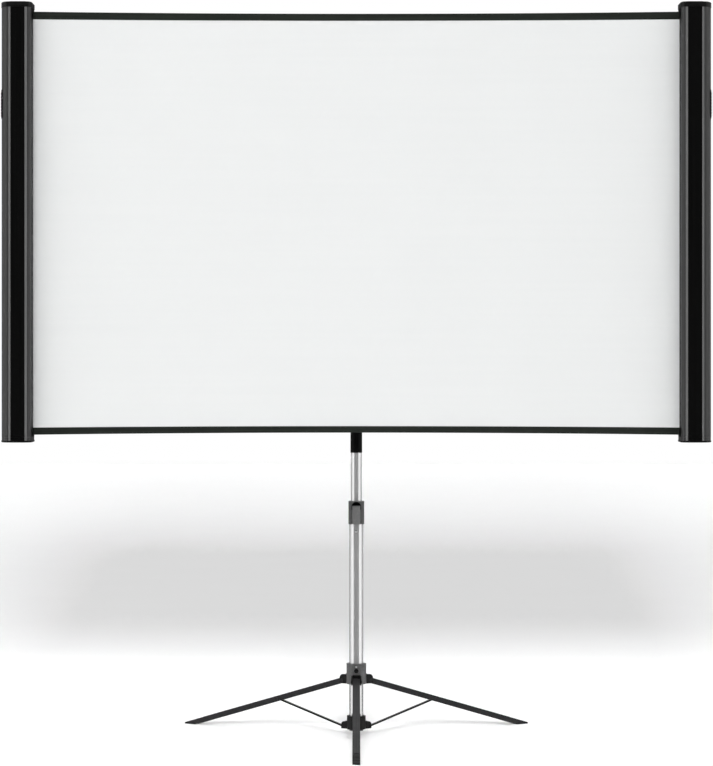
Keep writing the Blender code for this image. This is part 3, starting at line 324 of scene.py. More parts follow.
# Stretch counts the drift's patches and grain the bumps per metre along X, Y and Z.
# Threads per metre take the grain's place in cloth. Relief is the height of either, in metres.
LOOKS = {
    "case_alloy": dict(dark=grey(0.024), light=grey(0.046), roughness=(0.30, 0.40),
                       stretch=(900, 900, 1.5), grain=(2500, 2500, 60), relief=0.00001,
                       specular=0.25),
    "gloss_black": dict(dark=grey(0.001), light=grey(0.003), roughness=(0.06, 0.14),
                        stretch=(260, 260, 2), grain=(700, 700, 5), relief=0.000008,
                        specular=0.12),
    "cap_plastic": dict(dark=grey(0.003), light=grey(0.007), roughness=(0.30, 0.42),
                        stretch=even(160), grain=even(1800), relief=0.00003, specular=0.14),
    "sheet_white": dict(dark=(0.856, 0.870, 0.869), light=(0.866, 0.879, 0.877),
                        roughness=(0.72, 0.85), stretch=(2, 2, 90), threads=1600,
                        relief=0.00003, specular=0.2),
    "border_black": dict(dark=(0.014, 0.017, 0.014), light=(0.024, 0.028, 0.024),
                         roughness=(0.6, 0.75), stretch=(4, 4, 240), threads=1600,
                         relief=0.00003, specular=0.1),
    "satin_alloy": dict(dark=grey(0.60), light=grey(0.68, 1.01), roughness=(0.15, 0.20),
                        stretch=(2600, 2600, 6), grain=(3000, 3000, 30), relief=0.00001,
                        metallic=0.72),
    "black_tube": dict(dark=grey(0.0012), light=grey(0.0028), roughness=(0.35, 0.5),
                       stretch=even(80), grain=even(1500), relief=0.00003, specular=0.05),
    "hub_plastic": dict(dark=grey(0.085), light=grey(0.125), roughness=(0.34, 0.46),
                        stretch=even(260), grain=even(1600), relief=0.00004, specular=0.2),
    "collar_plastic": dict(dark=grey(0.070), light=grey(0.090), roughness=(0.4, 0.55),
                           stretch=even(260), grain=even(1600), relief=0.00004,
                           specular=0.15),
    "lever_plastic": dict(dark=grey(0.135), light=grey(0.16), roughness=(0.4, 0.52),
                          stretch=even(260), grain=even(1600), relief=0.00003,
                          specular=0.15),
    "leg_steel": dict(dark=grey(0.013, 1.05), light=grey(0.021, 1.05), roughness=(0.36, 0.5),
                      stretch=even(40), grain=even(1400), relief=0.00003, specular=0.15),
    "rubber_black": dict(dark=grey(0.025), light=grey(0.036), roughness=(0.7, 0.9),
                         stretch=even(120), grain=even(1200), relief=0.00006, specular=0.1),
    "plated_steel": dict(dark=grey(0.42), light=grey(0.52), roughness=(0.22, 0.34),
                         stretch=even(300), grain=even(2200), relief=0.00001, metallic=1.0),
    # Painted highlight: a lighter grey laid on the case's chamfers for the light they catch.
    "painted_chamfer_highlight": dict(dark=grey(0.095), light=grey(0.125), roughness=(0.25, 0.35),
                         stretch=(900, 900, 1.5), grain=(2500, 2500, 60), relief=0.00001,
                         specular=0.3),
}
MATERIALS = {name: make_material(name, **look) for name, look in LOOKS.items()}


# Shapes

def finished(bm):
    bmesh.ops.recalc_face_normals(bm, faces=bm.faces)
    mesh = bpy.data.meshes.new("form")
    bm.to_mesh(mesh)
    bm.free()
    mesh.shade_smooth()
    mesh.set_sharp_from_angle(angle=SMOOTH_ANGLE)
    return mesh


def loft(rings, loop=False):
    """A closed surface through rings of points, capped at both ends unless it loops."""
    bm = bmesh.new()
    rows = [[bm.verts.new(point) for point in ring] for ring in rings]
    pairs = list(zip(rows, rows[1:]))
    if loop:
        pairs.append((rows[-1], rows[0]))
    for first, second in pairs:
        for i in range(len(first)):
            j = (i + 1) % len(first)
            bm.faces.new((first[i], first[j], second[j], second[i]))
    if not loop:
        bm.faces.new(rows[0][::-1])
        bm.faces.new(rows[-1])
    return finished(bm)


def prism(outline, foot, top, place=IDENTITY):
    """An upright prism from an outline in X and Y."""
    return loft([[place @ Vector((x, y, z)) for x, y in outline] for z in (foot, top)])


def bar(section, start, end, place=IDENTITY):
    """A bar along X from a section in Y and Z."""
    return loft([[place @ Vector((x, y, z)) for y, z in section] for x in (start, end)])


def slab(outline, start, end, place=IDENTITY):
    """A slab along Y from an outline in X and Z."""
    return loft([[place @ Vector((x, y, z)) for x, z in outline] for y in (start, end)])


def turned(profile, place, steps=ROUND_STEPS, loop=False, lobes=0, flute=0.0):
    """A profile of (radius, height) points turned round the place's Z, fluted if asked."""
    rings = []
    for radius, height in profile:
        ring = []
        for i in range(steps):
            angle = math.tau * i / steps
            reach = radius * (1 - flute * (1 - abs(math.cos(angle * lobes / 2))))
            ring.append(place @ Vector((reach * math.cos(angle), reach * math.sin(angle),
                                        height)))
        rings.append(ring)
    return loft(rings, loop)


def arc(middle, radii, start, end, steps=CORNER_STEPS):
    """Points of an elliptical arc, from one angle in degrees to another."""
    points = []
    for i in range(steps + 1):
        angle = math.radians(start + (end - start) * i / steps)
        points.append((middle[0] + radii[0] * math.cos(angle),
                       middle[1] + radii[1] * math.sin(angle)))
    return points


def rounded(width, height, corner):
    """A rectangle about the origin with rounded corners, counter-clockwise."""
    half_w, half_h = width / 2 - corner, height / 2 - corner
    points = []
    for x, y, start in ((half_w, half_h, 0), (-half_w, half_h, 90), (-half_w, -half_h, 180),
                        (half_w, -half_h, 270)):
        points += arc((x, y), (corner, corner), start, start + 90)
    return points


def offset(points, distance, closed=True):
    """Move a run of points to its right-hand side by a distance."""
    moved = []
    last = len(points) - 1
    for i, here in enumerate(points):
        before = points[i - 1] if closed or i else here
        after = points[(i + 1) % (last + 1)] if closed or i < last else here
        along = Vector((after[0] - before[0], after[1] - before[1])).normalized()
        moved.append((here[0] + along.y * distance, here[1] - along.x * distance))
    return moved


def sliced(mesh, point, normal):
    """Take away everything on the normal's side of a plane and close the cut."""
    bm = bmesh.new()
    bm.from_mesh(mesh)
    geometry = bm.verts[:] + bm.edges[:] + bm.faces[:]
    cut = bmesh.ops.bisect_plane(bm, geom=geometry, plane_co=point, plane_no=normal,
                                 clear_outer=True)
    edges = [item for item in cut["geom_cut"] if isinstance(item, bmesh.types.BMEdge)]
    bmesh.ops.edgeloop_fill(bm, edges=edges)
    return finished(bm)


# Pieces

def add_piece(name, mesh, body, slot):
    piece = bpy.data.objects.new(name, mesh)
    mesh.name = name
    mesh.materials.append(MATERIALS[slot])
    bpy.context.scene.collection.objects.link(piece)
    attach(piece, body)
    return piece


def stand_for(node, mesh, slot=None, name="form"):
    """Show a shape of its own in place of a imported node, or of a part of it."""
    piece = add_piece(node + "_" + name, mesh, BODY_OF[node], slot or SLOT_OF[node])
    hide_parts(node)
    return piece


def cut_out(piece, mesh):
    """Cut a shape from a piece. The cutter moves with the piece."""
    cutter = bpy.data.objects.new(piece.name + "_cutter", mesh)
    bpy.context.scene.collection.objects.link(cutter)
    cutter.parent = piece
    cutter.hide_render = True
    cutter.hide_viewport = True
    modifier = piece.modifiers.new("cut_out", "BOOLEAN")
    modifier.operation = "DIFFERENCE"
    modifier.solver = "EXACT"
    modifier.object = cutter


def soften(piece, width, segments=3):
    bevel = piece.modifiers.new("soften", "BEVEL")
    bevel.width = width
    bevel.segments = segments
    bevel.limit_method = "ANGLE"
    bevel.angle_limit = SMOOTH_ANGLE
    bevel.harden_normals = True


# Sheet

HALF_SCREEN = -high("left_case").x


def edge_share(x):
    """How much of the bow is there at x: none in the middle, all of it at the cases."""
    return min(abs(x) / HALF_SCREEN, 1) ** 2


def ripple(x, z):
    """The cloth's faint waves, shared by the sheet and its borders."""
    wave = math.sin(math.tau * x / RELIEF_WAVE) * math.sin(math.tau * z / (2 * RELIEF_WAVE))
    return SHEET_RELIEF * wave


def cloth(node, foot_line, top_line, rows):
    """A thin solid between two edge lines, with the shared waves."""
    lo, hi = low(node), high(node)
    rings = []
    for i in range(SHEET_COLUMNS + 1):
        x = lo.x + (hi.x - lo.x) * i / SHEET_COLUMNS
        heights = [foot_line(x) + (top_line(x) - foot_line(x)) * k / rows
                   for k in range(rows + 1)]
        near = [(x, lo.y + ripple(x, z), z) for z in heights]
        far = [(x, hi.y + ripple(x, z), z) for z in reversed(heights)]
        rings.append(near + far)
    return stand_for(node, loft(rings))


def make_sheet():
    """The taut white sheet with its two black borders."""
    top_middle = high("screen_sheet").z - SHEET_BOW
    foot_middle = low("screen_sheet").z + SHEET_BOW

    def top(x):
        return top_middle + SHEET_BOW * edge_share(x)

    def foot(x):
        return foot_middle - SHEET_BOW * edge_share(x)

    sheet = cloth("screen_sheet", foot, top, SHEET_ROWS)
    borders = [
        cloth("top_border", lambda x: top(x) - TOP_BORDER_HEIGHT - BORDER_FLARE * edge_share(x),
              top, BORDER_ROWS),
        cloth("bottom_border", foot,
              lambda x: foot(x) + FOOT_BORDER_HEIGHT + BORDER_FLARE * edge_share(x),
              BORDER_ROWS),
    ]
    for piece in (sheet, *borders):
        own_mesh(piece)


def make_wound(side_name):
    """The turns of sheet left on a roller, as a spiral of cloth."""
    node = side_name + "_wound_sheet"
    axis = centre(node)
    foot, top = low(node).z, high(node).z
    outer = high(node).x - axis.x
    inner = high(side_name + "_roller_tube").x - axis.x + WOUND_FIT
    pitch = (outer - inner - WOUND_CLOTH) / WOUND_TURNS
    rings = []
    for i in range(WOUND_TURNS * TURN_STEPS + 1):
        angle = math.tau * i / TURN_STEPS
        radius = inner + pitch * i / TURN_STEPS
        section = ((radius, foot), (radius + WOUND_CLOTH, foot), (radius + WOUND_CLOTH, top),
                   (radius, top))
        rings.append([(axis.x - reach * math.sin(angle), axis.y + reach * math.cos(angle), z)
                      for reach, z in section])
    wound = stand_for(node, loft(rings))


# Cases

CASE_WIDTH = high("right_case").x - low("right_case").x
CASE_DEPTH = high("right_case").y - low("right_trim_strip").y
CASE_FRONT = low("right_trim_strip").y
SLOT_DEPTH = centre("screen_sheet").y - CASE_FRONT
SLOT_START = SLOT_DEPTH - CASE_SLOT / 2
SLOT_END = SLOT_DEPTH + CASE_SLOT / 2


def case_curve():
    """The case's outline, counter-clockwise from above, from the front inner edge."""
    inner_radius = STRIP_INSET - CHAMFER_WIDTH
    outer_radius = CASE_WIDTH - STRIP_END - CHAMFER_WIDTH
    points = [(STRIP_INSET, STRIP_THICKNESS), (STRIP_END, STRIP_THICKNESS)]
    points += arc((STRIP_END + CHAMFER_WIDTH, CHAMFER_END + OUTER_SHOULDER),
                  (outer_radius, OUTER_SHOULDER), -90, 0, SHOULDER_STEPS)
    corner = OUTER_BACK_CORNER
    points += arc((CASE_WIDTH - corner, CASE_DEPTH - corner), (corner, corner), 0, 90)
    corner = INNER_BACK_CORNER
    points += arc((corner, CASE_DEPTH - corner), (corner, corner), 90, 180)
    points += arc((inner_radius, CHAMFER_END + INNER_SHOULDER), (inner_radius, INNER_SHOULDER),
                  180, 270, SHOULDER_STEPS)
    return points


def from_slot(points):
    """Start the outline in front of the sheet's slot and end it behind the slot."""
    last = max(i for i, point in enumerate(points) if point[1] > SLOT_END)
    return points[last + 1:] + points[:last + 1]


def in_world(points, side):
    placed = [(side * (HALF_SCREEN + x), CASE_FRONT + y) for x, y in points]
    return placed if side > 0 else placed[::-1]


def case_section():
    """The hollow section, open at the sheet's slot, with a groove for the strip."""
    outside = []
    for x, y in from_slot(case_curve()):
        if (x, y) == (STRIP_INSET, STRIP_THICKNESS):
            outside += [(x - FIT / 2, y), (x - FIT / 2, 2 * y)]
        elif (x, y) == (STRIP_END, STRIP_THICKNESS):
            outside += [(x + FIT / 2, 2 * y), (x + FIT / 2, y)]
        else:
            outside.append((x, y))
    outside = [(max(x, DARK_STRIP_THICKNESS), y) for x, y in outside]
    inside = from_slot(offset(case_curve(), -CASE_WALL))
    return [(DARK_STRIP_THICKNESS, SLOT_START), *outside, (DARK_STRIP_THICKNESS, SLOT_END),
            (CASE_WALL, SLOT_END), *inside[::-1], (CASE_WALL, SLOT_START)]


def make_case(side_name, side):
    """The extruded case, with thin matt black strips on its inner face before and behind the
    sheet's slot.
    """
    node = side_name + "_case"
    foot, top = low(node).z, high(node).z
    stand_for(node, prism(in_world(case_section(), side), foot, top))
    for name, start, end in (("front_dark_strip", CHAMFER_END + INNER_SHOULDER, SLOT_START),
                             ("rear_dark_strip", SLOT_END, CASE_DEPTH - INNER_BACK_CORNER)):
        dark_strip = [(0, start), (DARK_STRIP_THICKNESS, start), (DARK_STRIP_THICKNESS, end), (0, end)]
        stand_for(node, prism(in_world(dark_strip, side), foot, top), "black_tube", name)
    make_painted_highlight_edges(node, side, foot, top)


def make_painted_highlight_edges(node, side, foot, top):
    """Thin lighter layers on the two chamfers beside the strip: a painted highlight for the light
    the chamfers catch.
    """
    for name, start, end in (("inner_edge", STRIP_INSET - FIT, STRIP_INSET - CHAMFER_WIDTH),
                             ("outer_edge", STRIP_END + FIT, STRIP_END + CHAMFER_WIDTH)):
        edge = [(start, STRIP_THICKNESS), (end, CHAMFER_END), (end, CHAMFER_END - FIT),
                (start, STRIP_THICKNESS - FIT)]
        bead = stand_for(node, prism(in_world(edge, side), foot, top), "case_alloy", name)
        # The lighter colour is a painted highlight on the chamfer.
        bead.data.materials[0] = MATERIALS["painted_chamfer_highlight"]


def make_band(node, side, foot, top):
    """The band over the bottom plate. It carries on the looks of the case and the strip."""
    outline = in_world(offset(case_curve(), -FIT / 2), side)
    stand_for(node, prism(outline, foot, top), "case_alloy", "band")
    near, far = STRIP_INSET + FIT, STRIP_END - FIT
    insert = [(near, 0), (far, 0), (far, STRIP_THICKNESS), (near, STRIP_THICKNESS)]
    stand_for(node, prism(in_world(insert, side), foot, top), "gloss_black", "insert")
    make_painted_highlight_edges(node, side, foot, top)


def make_cap(side_name, side, end):
    """A moulded end cap with rounded edges and a sunk panel on its outer face.

    The bottom one is a thin plate under a band.
    """
    node = side_name + "_" + end + "_cap"
    foot, top = low(node).z, high(node).z
    if end == "top":
        inner, outer, outwards = foot, top, 1
    else:
        inner, outer, outwards = foot + CAP_PLATE, foot, -1
        make_band(node, side, inner, top)
    levels = [(CAP_INNER_EDGE, inner), (0, inner + outwards * CAP_INNER_EDGE)]
    for degrees in CAP_EDGE_ANGLES:
        angle = math.radians(degrees)
        levels.append((CAP_EDGE * (1 - math.cos(angle)),
                       outer - outwards * CAP_EDGE * (1 - math.sin(angle))))
    outline = in_world(offset(case_curve(), CAP_LIP), side)
    rings = [[(*point, z) for point in offset(outline, -inset)] for inset, z in levels]
    middle = Vector((centre(node).x, centre(node).y))
    flat = offset(outline, -CAP_EDGE)
    for share, z in ((CAP_PANEL_SHARE, outer),
                     (CAP_PANEL_SHARE - CAP_PANEL_SLOPE_SHARE, outer - outwards * CAP_PANEL_DROP)):
        rings.append([(*(middle + (Vector(point) - middle) * share), z) for point in flat])
    stand_for(node, loft(rings))


def make_grip(side_name, side):
    """A ribbed pad round the case's outer side, ramped at both ends."""
    node = side_name + "_case_grip"
    run = [point for point in case_curve() if point[0] > CASE_WIDTH / 2
           and GRIP_START < point[1] < GRIP_START + GRIP_LENGTH]
    run.append((CASE_WIDTH, GRIP_START + GRIP_LENGTH))
    near = in_world(offset(run, FIT, closed=False), 1)
    foot, top = low(node).z, high(node).z
    rings = []
    for k in range(GRIP_ROWS + 1):
        z = foot + (top - foot) * k / GRIP_ROWS
        climb = min(1, (z - foot) / GRIP_RAMP, (top - z) / GRIP_RAMP)
        rib = max(0, math.sin(math.tau * GRIP_RIBS * k / GRIP_ROWS)) * GRIP_RIB_DEPTH
        share = GRIP_END_SHARE + (1 - GRIP_END_SHARE) * climb
        proud = FIT + (GRIP_THICKNESS - rib) * share
        far = in_world(offset(run, proud, closed=False), 1)
        rings.append([(side * x, y, z) for x, y in near + far[::-1]])
    stand_for(node, loft(rings))


# Collar, lever and socket

def lever_groove(foot, top):
    """The groove's outline in X and Z: a straight slot that widens into an arch."""
    half = LEVER_WIDTH / 2 + FIT
    radius = LEVER_ARCH_RADIUS
    shoulder = high("lock_lever").z - LEVER_HEAD_RADIUS - LEVER_ARCH_DROP
    flare = shoulder + radius - half
    outline = [(-half, foot - OVERRUN), (half, foot - OVERRUN), (half, shoulder), (radius, flare)]
    outline += arc((0, top - COLLAR_BRIDGE - radius), (radius, radius), 0, 180, SMALL_STEPS)
    return outline + [(-radius, flare), (-half, shoulder)]


def make_collar():
    """The clamp collar, with a black plate at the back of its lever's groove as painted shade."""
    foot, top = low("lock_collar").z, high("lock_collar").z
    side = high("lock_collar").x
    face = low("lock_collar").y
    front = MAST.y - face
    corner = COLLAR_CORNER
    outline = arc((0, 0), (side, side), 0, 180, ROUND_STEPS // 2)
    outline += arc((-side + corner, -front + corner), (corner, corner), 180, 270)
    outline += arc((side - corner, -front + corner), (corner, corner), 270, 360)
    place = Matrix.Translation((0, MAST.y, 0))
    collar = stand_for("lock_collar", prism(outline, foot, top, place))
    soften(collar, COLLAR_EDGE)
    tube = high("upper_tube").x + FIT
    seat = high("lower_tube").x + FIT
    seat_top = high("lower_tube").z + FIT
    profile = [(seat, foot - OVERRUN), (seat, seat_top), (tube, seat_top), (tube, top + OVERRUN)]
    cut_out(collar, turned(profile, place))
    groove = lever_groove(foot, top)
    across = Matrix.Translation((centre("lock_lever").x, 0, 0))
    back = face + LEVER_GROOVE_DEPTH
    cut_out(collar, slab(groove, back, face - OVERRUN, across))
    # A black plate on the groove's back wall: painted shade inside the groove.
    inner = [(x, max(z, foot + COLLAR_EDGE)) for x, z in offset(groove, -FIT)]
    groove_shade_plate = slab(inner, back - FIT, back - 2 * FIT, across)
    stand_for("lock_collar", groove_shade_plate, "black_tube", "groove_shade_plate")


def make_lever():
    """The flip lever: a cam head and a tongue with a finger lip."""
    head = LEVER_HEAD_RADIUS
    pivot_height = high("lock_lever").z - head
    pivot_y = low("lock_collar").y + head
    length = pivot_height - max(low("lock_lever").z, low("lock_collar").z)
    outline = arc((0, 0), (head, head), *LEVER_HEAD_ARC, SMALL_STEPS)
    outline += [(-head, -length + LEVER_LIP * 2), (-head - LEVER_LIP, -length),
                (-head + LEVER_TONGUE / 2, -length),
                (-head + LEVER_TONGUE, -length + LEVER_LIP * 2), (-head + LEVER_TONGUE, -head)]
    place = Matrix.Translation((0, pivot_y, pivot_height))
    lever = stand_for("lock_lever", bar(outline, -LEVER_WIDTH / 2, LEVER_WIDTH / 2, place))
    soften(lever, LEVER_EDGE)


def make_socket():
    """The cup under the lower sleeve, with a rounded foot."""
    node = "mast_socket"
    foot, top = low(node).z, high(node).z
    radius = high(node).x
    bore = high("upper_tube").x + FIT
    edge = (radius - bore) * SOCKET_EDGE_SHARE
    profile = [(bore, top - FIT), (bore, foot + edge), (bore + FIT / 2, foot)]
    profile += arc((radius - edge, foot + edge), (edge, edge), *SOCKET_EDGE_ARC,
                   SOCKET_EDGE_STEPS)
    profile.append((radius, top))
    stand_for(node, turned(profile, Matrix.Translation((0, MAST.y, 0)), loop=True))


# Tripod

def leg_frame(index):
    """A leg's frame on the mast's axis at floor level: X outwards, Y across."""
    turn = -math.pi / 2 + index * THIRD_TURN
    return Matrix.Translation((0, MAST.y, 0)) @ Matrix.Rotation(turn, 4, "Z")


def leg_matrix(index):
    """X down along the leg from its pivot, Z square to its back."""
    pivot = Matrix.Translation((LEG_PIVOT_RADIUS, 0, LEG_PIVOT_HEIGHT))
    return leg_frame(index) @ pivot @ Matrix.Rotation(LEG_SLOPE, 4, "Y")


def leg_section():
    """A channel open underneath, with rounded shoulders and a low bead along its back."""
    half_w, half_d = LEG_WIDTH / 2, LEG_DEPTH / 2
    corner = LEG_CORNER
    bead = LEG_BEAD_WIDTH / 2
    points = arc((half_w - corner, half_d - corner), (corner, corner), 0, 90)
    points += [(bead, half_d), (bead - LEG_BEAD_HEIGHT, half_d + LEG_BEAD_HEIGHT),
               (-bead + LEG_BEAD_HEIGHT, half_d + LEG_BEAD_HEIGHT), (-bead, half_d)]
    points += arc((-half_w + corner, half_d - corner), (corner, corner), 90, 180)
    inner = half_w - LEG_WALL
    points += [(-half_w, -half_d), (-inner, -half_d), (-inner, half_d - LEG_WALL),
               (inner, half_d - LEG_WALL), (inner, -half_d), (half_w, -half_d)]
    return points


def foot_stations():
    """The foot's sections along the leg: a plug, then a block with grooves round it."""
    start = LEG_RUN - FOOT_CAP_LENGTH
    inner = (LEG_WIDTH - 2 * (LEG_WALL + FIT), LEG_DEPTH - LEG_WALL - 2 * FIT)
    plug = [(y, z - LEG_WALL / 2) for y, z in rounded(*inner, LEG_CORNER)]
    block = rounded(LEG_WIDTH, LEG_DEPTH, LEG_CORNER)
    sunk = offset(block, -FOOT_RIB_DEPTH)
    half, quarter = FOOT_RIB_WIDTH / 2, FOOT_RIB_WIDTH / 4
    stations = [(start - FOOT_PLUG_LENGTH, plug), (start, plug), (start, block)]
    for rib in FOOT_RIBS:
        middle = start + rib + FOOT_RIB_WIDTH
        stations += [(middle - half, block), (middle - quarter, sunk),
                     (middle + quarter, sunk), (middle + half, block)]
    stations.append((LEG_RUN + LEG_DEPTH, block))
    return stations


def make_leg(index):
    """The leg's channel and its ribbed foot, which stands on a thin black sole."""
    name = LEG_NAMES[index]
    place = leg_frame(index)
    along = leg_matrix(index)
    end = LEG_RUN - FOOT_CAP_LENGTH - FIT
    stand_for(name + "_leg", bar(leg_section(), -LEG_OVERHANG, end, along))
    rings = [[along @ Vector((x, y, z)) for y, z in ring] for x, ring in foot_stations()]
    mesh = sliced(loft(rings), place @ Vector((FOOT_REACH, 0, 0)),
                  place.to_3x3() @ Vector((1, 0, 0)))
    level = Vector((0, 0, FOOT_SOLE))
    stand_for(name + "_foot_cap", sliced(mesh, level, (0, 0, -1)))
    sole = sliced(sliced(mesh, level, (0, 0, 1)), Vector(), (0, 0, -1))
    stand_for(name + "_foot_cap", sole, "cap_plastic", "sole")


def make_ears(node, body_radius, ear_height, link_width):
    """Three forked ears round a hub, rounded at the top."""
    foot = low(node).z
    inner = body_radius - HUB_CHEEK
    reach = MAST.y - low(node).y
    corner = EAR_CORNER_SHARE * ear_height
    small = EAR_FOOT_CORNER
    outline = [(inner, foot)]
    outline += arc((reach - small, foot + small), (small, small), -90, 0)
    outline += arc((reach - corner, foot + ear_height - corner), (corner, corner), 0, 90)
    outline.append((inner, foot + ear_height))
    start, end = body_radius + FIT, reach + OVERRUN
    under, over = foot - OVERRUN, foot + ear_height + OVERRUN
    gap = [(start, under), (end, under), (end, over), (start, over)]
    half = link_width / 2
    half_width = half + HUB_CHEEK
    for index, leg_name in enumerate(LEG_NAMES):
        turn = leg_frame(index)
        mesh = slab(outline, -half_width, half_width, turn)
        ear = stand_for(node, mesh, "cap_plastic", leg_name + "_ear")
        cut_out(ear, slab(gap, -half, half, turn))
        soften(ear, EAR_FOOT_CORNER / 2, segments=2)


def make_hub(node, body_radius, ear_height, link_width, body_slot):
    """A hub round the mast, with a groove under its top band and three ears."""
    foot, top = low(node).z, high(node).z
    bore = high("lower_tube").x + FIT
    lip = HUB_LIP
    groove = top - HUB_BAND
    profile = [(bore, foot), (body_radius - lip / 2, foot), (body_radius, foot + lip / 2),
               (body_radius, groove - lip), (body_radius - lip, groove), (body_radius, groove),
               (body_radius, top - lip / 2), (body_radius - lip / 2, top), (bore + lip, top),
               (bore, top - lip)]
    place = Matrix.Translation((0, MAST.y, 0))
    stand_for(node, turned(profile, place, loop=True), body_slot)
    make_ears(node, body_radius, ear_height, link_width)


def make_button():
    """A domed plated button over the hub's screw."""
    height = centre("hub_lock_screw").z + BUTTON_RISE
    place = Matrix.Translation((0, MAST.y - LEG_HUB_RADIUS, height))
    place = place @ Matrix.Rotation(math.pi / 2, 4, "X")
    profile = [(BUTTON_RADIUS, -BUTTON_RADIUS)]
    profile += arc((0, 0), (BUTTON_RADIUS, BUTTON_RADIUS), 0, BUTTON_CROWN_ANGLE)
    stand_for("leg_hub", turned(profile, place, SMALL_STEPS), "plated_steel", "button")


def make_thumb_screw(node, normal):
    """A fluted black thumb screw, whose head faces along the normal's sign on Y."""
    lo, hi = low(node), high(node)
    middle = (lo + hi) / 2
    radius = (hi.x - lo.x) / 2
    length = hi.y - lo.y
    place = Matrix.Translation((middle.x, lo.y if normal < 0 else hi.y, middle.z))
    place = place @ Matrix.Rotation(-normal * math.pi / 2, 4, "X")
    head = radius * SCREW_HEAD_SHARE
    edge = radius * SCREW_EDGE_SHARE
    stem = radius * SCREW_STEM_SHARE
    socket = radius * SCREW_SOCKET_SHARE
    profile = [(stem, -length), (stem, -head), (radius - edge, -head), (radius, -head + edge),
               (radius, -edge), (radius - edge, 0), (socket + edge / 2, 0),
               (socket, -edge / 2), (socket, -radius * SCREW_SOCKET_DEPTH_SHARE)]
    steps = SCREW_LOBES * SCREW_LOBE_STEPS
    stand_for(node, turned(profile, place, steps, lobes=SCREW_LOBES, flute=SCREW_FLUTE),
              "cap_plastic")


# Stage

def make_stage():
    bm = bmesh.new()
    corners = [(x, MAST.y + y, 0) for x, y in (
        (-FLOOR_WIDTH / 2, -FLOOR_FRONT), (FLOOR_WIDTH / 2, -FLOOR_FRONT),
        (FLOOR_WIDTH / 2, FLOOR_BACK), (-FLOOR_WIDTH / 2, FLOOR_BACK))]
    bm.faces.new([bm.verts.new(corner) for corner in corners])
    mesh = bpy.data.meshes.new("studio_floor")
    bm.to_mesh(mesh)
    bm.free()
    floor = bpy.data.objects.new("studio_floor", mesh)
    bpy.context.scene.collection.objects.link(floor)
    material = bpy.data.materials.new("studio_floor_look")
    material.use_nodes = True
    tree = material.node_tree
    shader = tree.nodes["Principled BSDF"]
    tone = ramp(tree, noise(tree, FLOOR_PATCHES), 0.0, 1.0, *FLOOR_TONES)
    tree.links.new(tone, shader.inputs["Base Color"])
    shader.inputs["Roughness"].default_value = FLOOR_ROUGHNESS
    shader.inputs["Specular IOR Level"].default_value = 0.0
    floor.data.materials.append(material)
    floor.visible_glossy = False
    return floor


def add_lamp(name, place, size, watts, aim):
    """A square area lamp that camera and mirrors don't see, measured from the mast's foot."""
    lamp = bpy.data.lights.new(name, "AREA")
    lamp.shape = "SQUARE"
    lamp.size = size
    lamp.energy = watts
    holder = bpy.data.objects.new(name, lamp)
    bpy.context.scene.collection.objects.link(holder)
    holder.location = Vector(place) + Vector((0, MAST.y, 0))
    toward = Vector(aim) + Vector((0, MAST.y, 0)) - holder.location
    holder.rotation_euler = toward.to_track_quat("-Z", "Y").to_euler()
    holder.visible_glossy = False
    holder.visible_camera = False
    return holder


def make_lamps(floor):
    """A soft key for the object, and a low lamp that lights the floor alone, evenly."""
    add_lamp("key_light", KEY_PLACE, KEY_SIZE, KEY_WATTS, (0, 0, KEY_AIM_HEIGHT))
    lamp = add_lamp("floor_light", FLOOR_LAMP_PLACE, FLOOR_LAMP_SIZE, FLOOR_LAMP_WATTS,
                    (0, FLOOR_LAMP_AIM, 0))
    lamp.data.use_nodes = True
    tree = lamp.data.node_tree
    steady = add_node(tree, "LightFalloff", {"Strength": 1.0}).outputs["Constant"]
    growing = add_node(tree, "LightFalloff", {"Strength": steady}).outputs["Linear"]
    tree.links.new(growing, tree.nodes["Emission"].inputs["Strength"])
    lit = bpy.data.collections.new("lit_floor")
    lit.objects.link(floor)
    lamp.light_linking.receiver_collection = lit


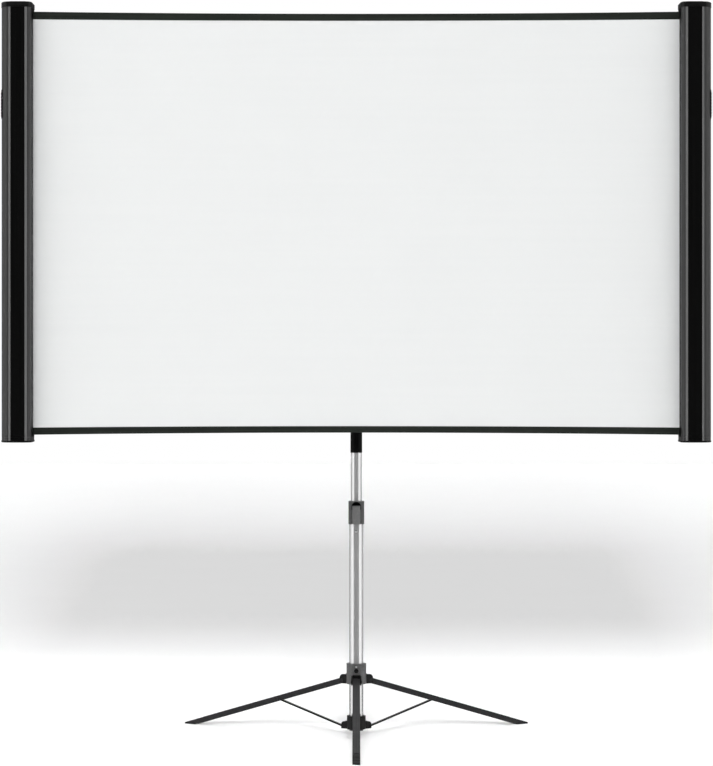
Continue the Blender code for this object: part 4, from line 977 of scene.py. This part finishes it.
def make_surroundings():
    """White to the camera, even light on matt surfaces, and wide softboxes in mirrors."""
    world = bpy.data.worlds.new("studio")
    bpy.context.scene.world = world
    world.use_nodes = True
    tree = world.node_tree
    background = tree.nodes["Background"]
    rays = add_node(tree, "LightPath").outputs
    direction = add_node(tree, "TexCoord").outputs["Generated"]
    parts = add_node(tree, "SeparateXYZ", {"Vector": direction}).outputs
    toward = calculate(tree, "MULTIPLY", parts["Y"], -1.0)
    away = calculate(tree, "ABSOLUTE", calculate(tree, "ARCTAN2", parts["X"], toward))
    rise = ramp(tree, away, *map(math.radians, SOFTBOX_RISE), FRONT_DARK, SOFTBOX_BRIGHT)
    fall = ramp(tree, away, *map(math.radians, SOFTBOX_FALL), 0.0, BACK_GREY - SOFTBOX_BRIGHT)
    sides = calculate(tree, "ADD", rise, fall)
    ceiling = ramp(tree, parts["Z"], *CEILING_RISE, 0.0, CEILING_BRIGHT)
    mirrored = calculate(tree, "MAXIMUM", sides, ceiling)
    unseen = mix(tree, "FLOAT", rays["Is Glossy Ray"], SKY_LIGHT, mirrored)
    strength = mix(tree, "FLOAT", rays["Is Camera Ray"], unseen, 1.0)
    tree.links.new(strength, background.inputs["Strength"])
    background.inputs["Color"].default_value = (1, 1, 1, 1)


def make_camera():
    data = bpy.data.cameras.new("camera")
    camera = bpy.data.objects.new("camera", data)
    bpy.context.scene.collection.objects.link(camera)
    data.sensor_width = SENSOR_MILLIMETRES
    data.lens = SENSOR_MILLIMETRES * FOCAL_PIXELS / IMAGE_LONG_SIDE
    data.shift_x = CENTRE_LEFT_PIXELS / IMAGE_LONG_SIDE
    data.shift_y = -HORIZON_RISE_PIXELS / IMAGE_LONG_SIDE
    data.clip_end = FLOOR_WIDTH * 2
    camera.location = (0, MAST.y - CAMERA_DISTANCE, CAMERA_HEIGHT)
    camera.rotation_euler = (math.pi / 2, 0, 0)
    bpy.context.scene.camera = camera


# Building

def dress_nodes():
    """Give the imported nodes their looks. The stays take the caps' blacker one."""
    for name, node in frame["nodes"].items():
        look = "cap_plastic" if name.endswith("_stay") else SLOT_OF[name]
        node.data.materials.clear()
        node.data.materials.append(MATERIALS[look])


def make_screen():
    for side_name, _ in SIDES:
        make_wound(side_name)
    make_sheet()
    for side_name, side in SIDES:
        make_case(side_name, side)
        make_cap(side_name, side, "top")
        make_cap(side_name, side, "bottom")
        make_grip(side_name, side)
        make_thumb_screw(side_name + "_arm_knob", 1)


def make_stand():
    make_collar()
    make_lever()
    make_socket()
    for index in range(LEG_COUNT):
        make_leg(index)
    make_hub("leg_hub", LEG_HUB_RADIUS, LEG_EAR_HEIGHT, LEG_WIDTH + 2 * FIT, "hub_plastic")
    # The base hub's body takes the blacker cap plastic instead of the hub plastic: a darker copy
    # standing for the shade it sits in, painted shade.
    make_hub("base_hub", BASE_HUB_RADIUS, STAY_EAR_HEIGHT, STAY_WIDTH + 4 * FIT, "cap_plastic")
    make_button()
    make_thumb_screw("hub_lock_screw", -1)


dress_nodes()
make_screen()
make_stand()
make_lamps(make_stage())
make_surroundings()
make_camera()
bpy.context.scene.view_settings.view_transform = "Standard"
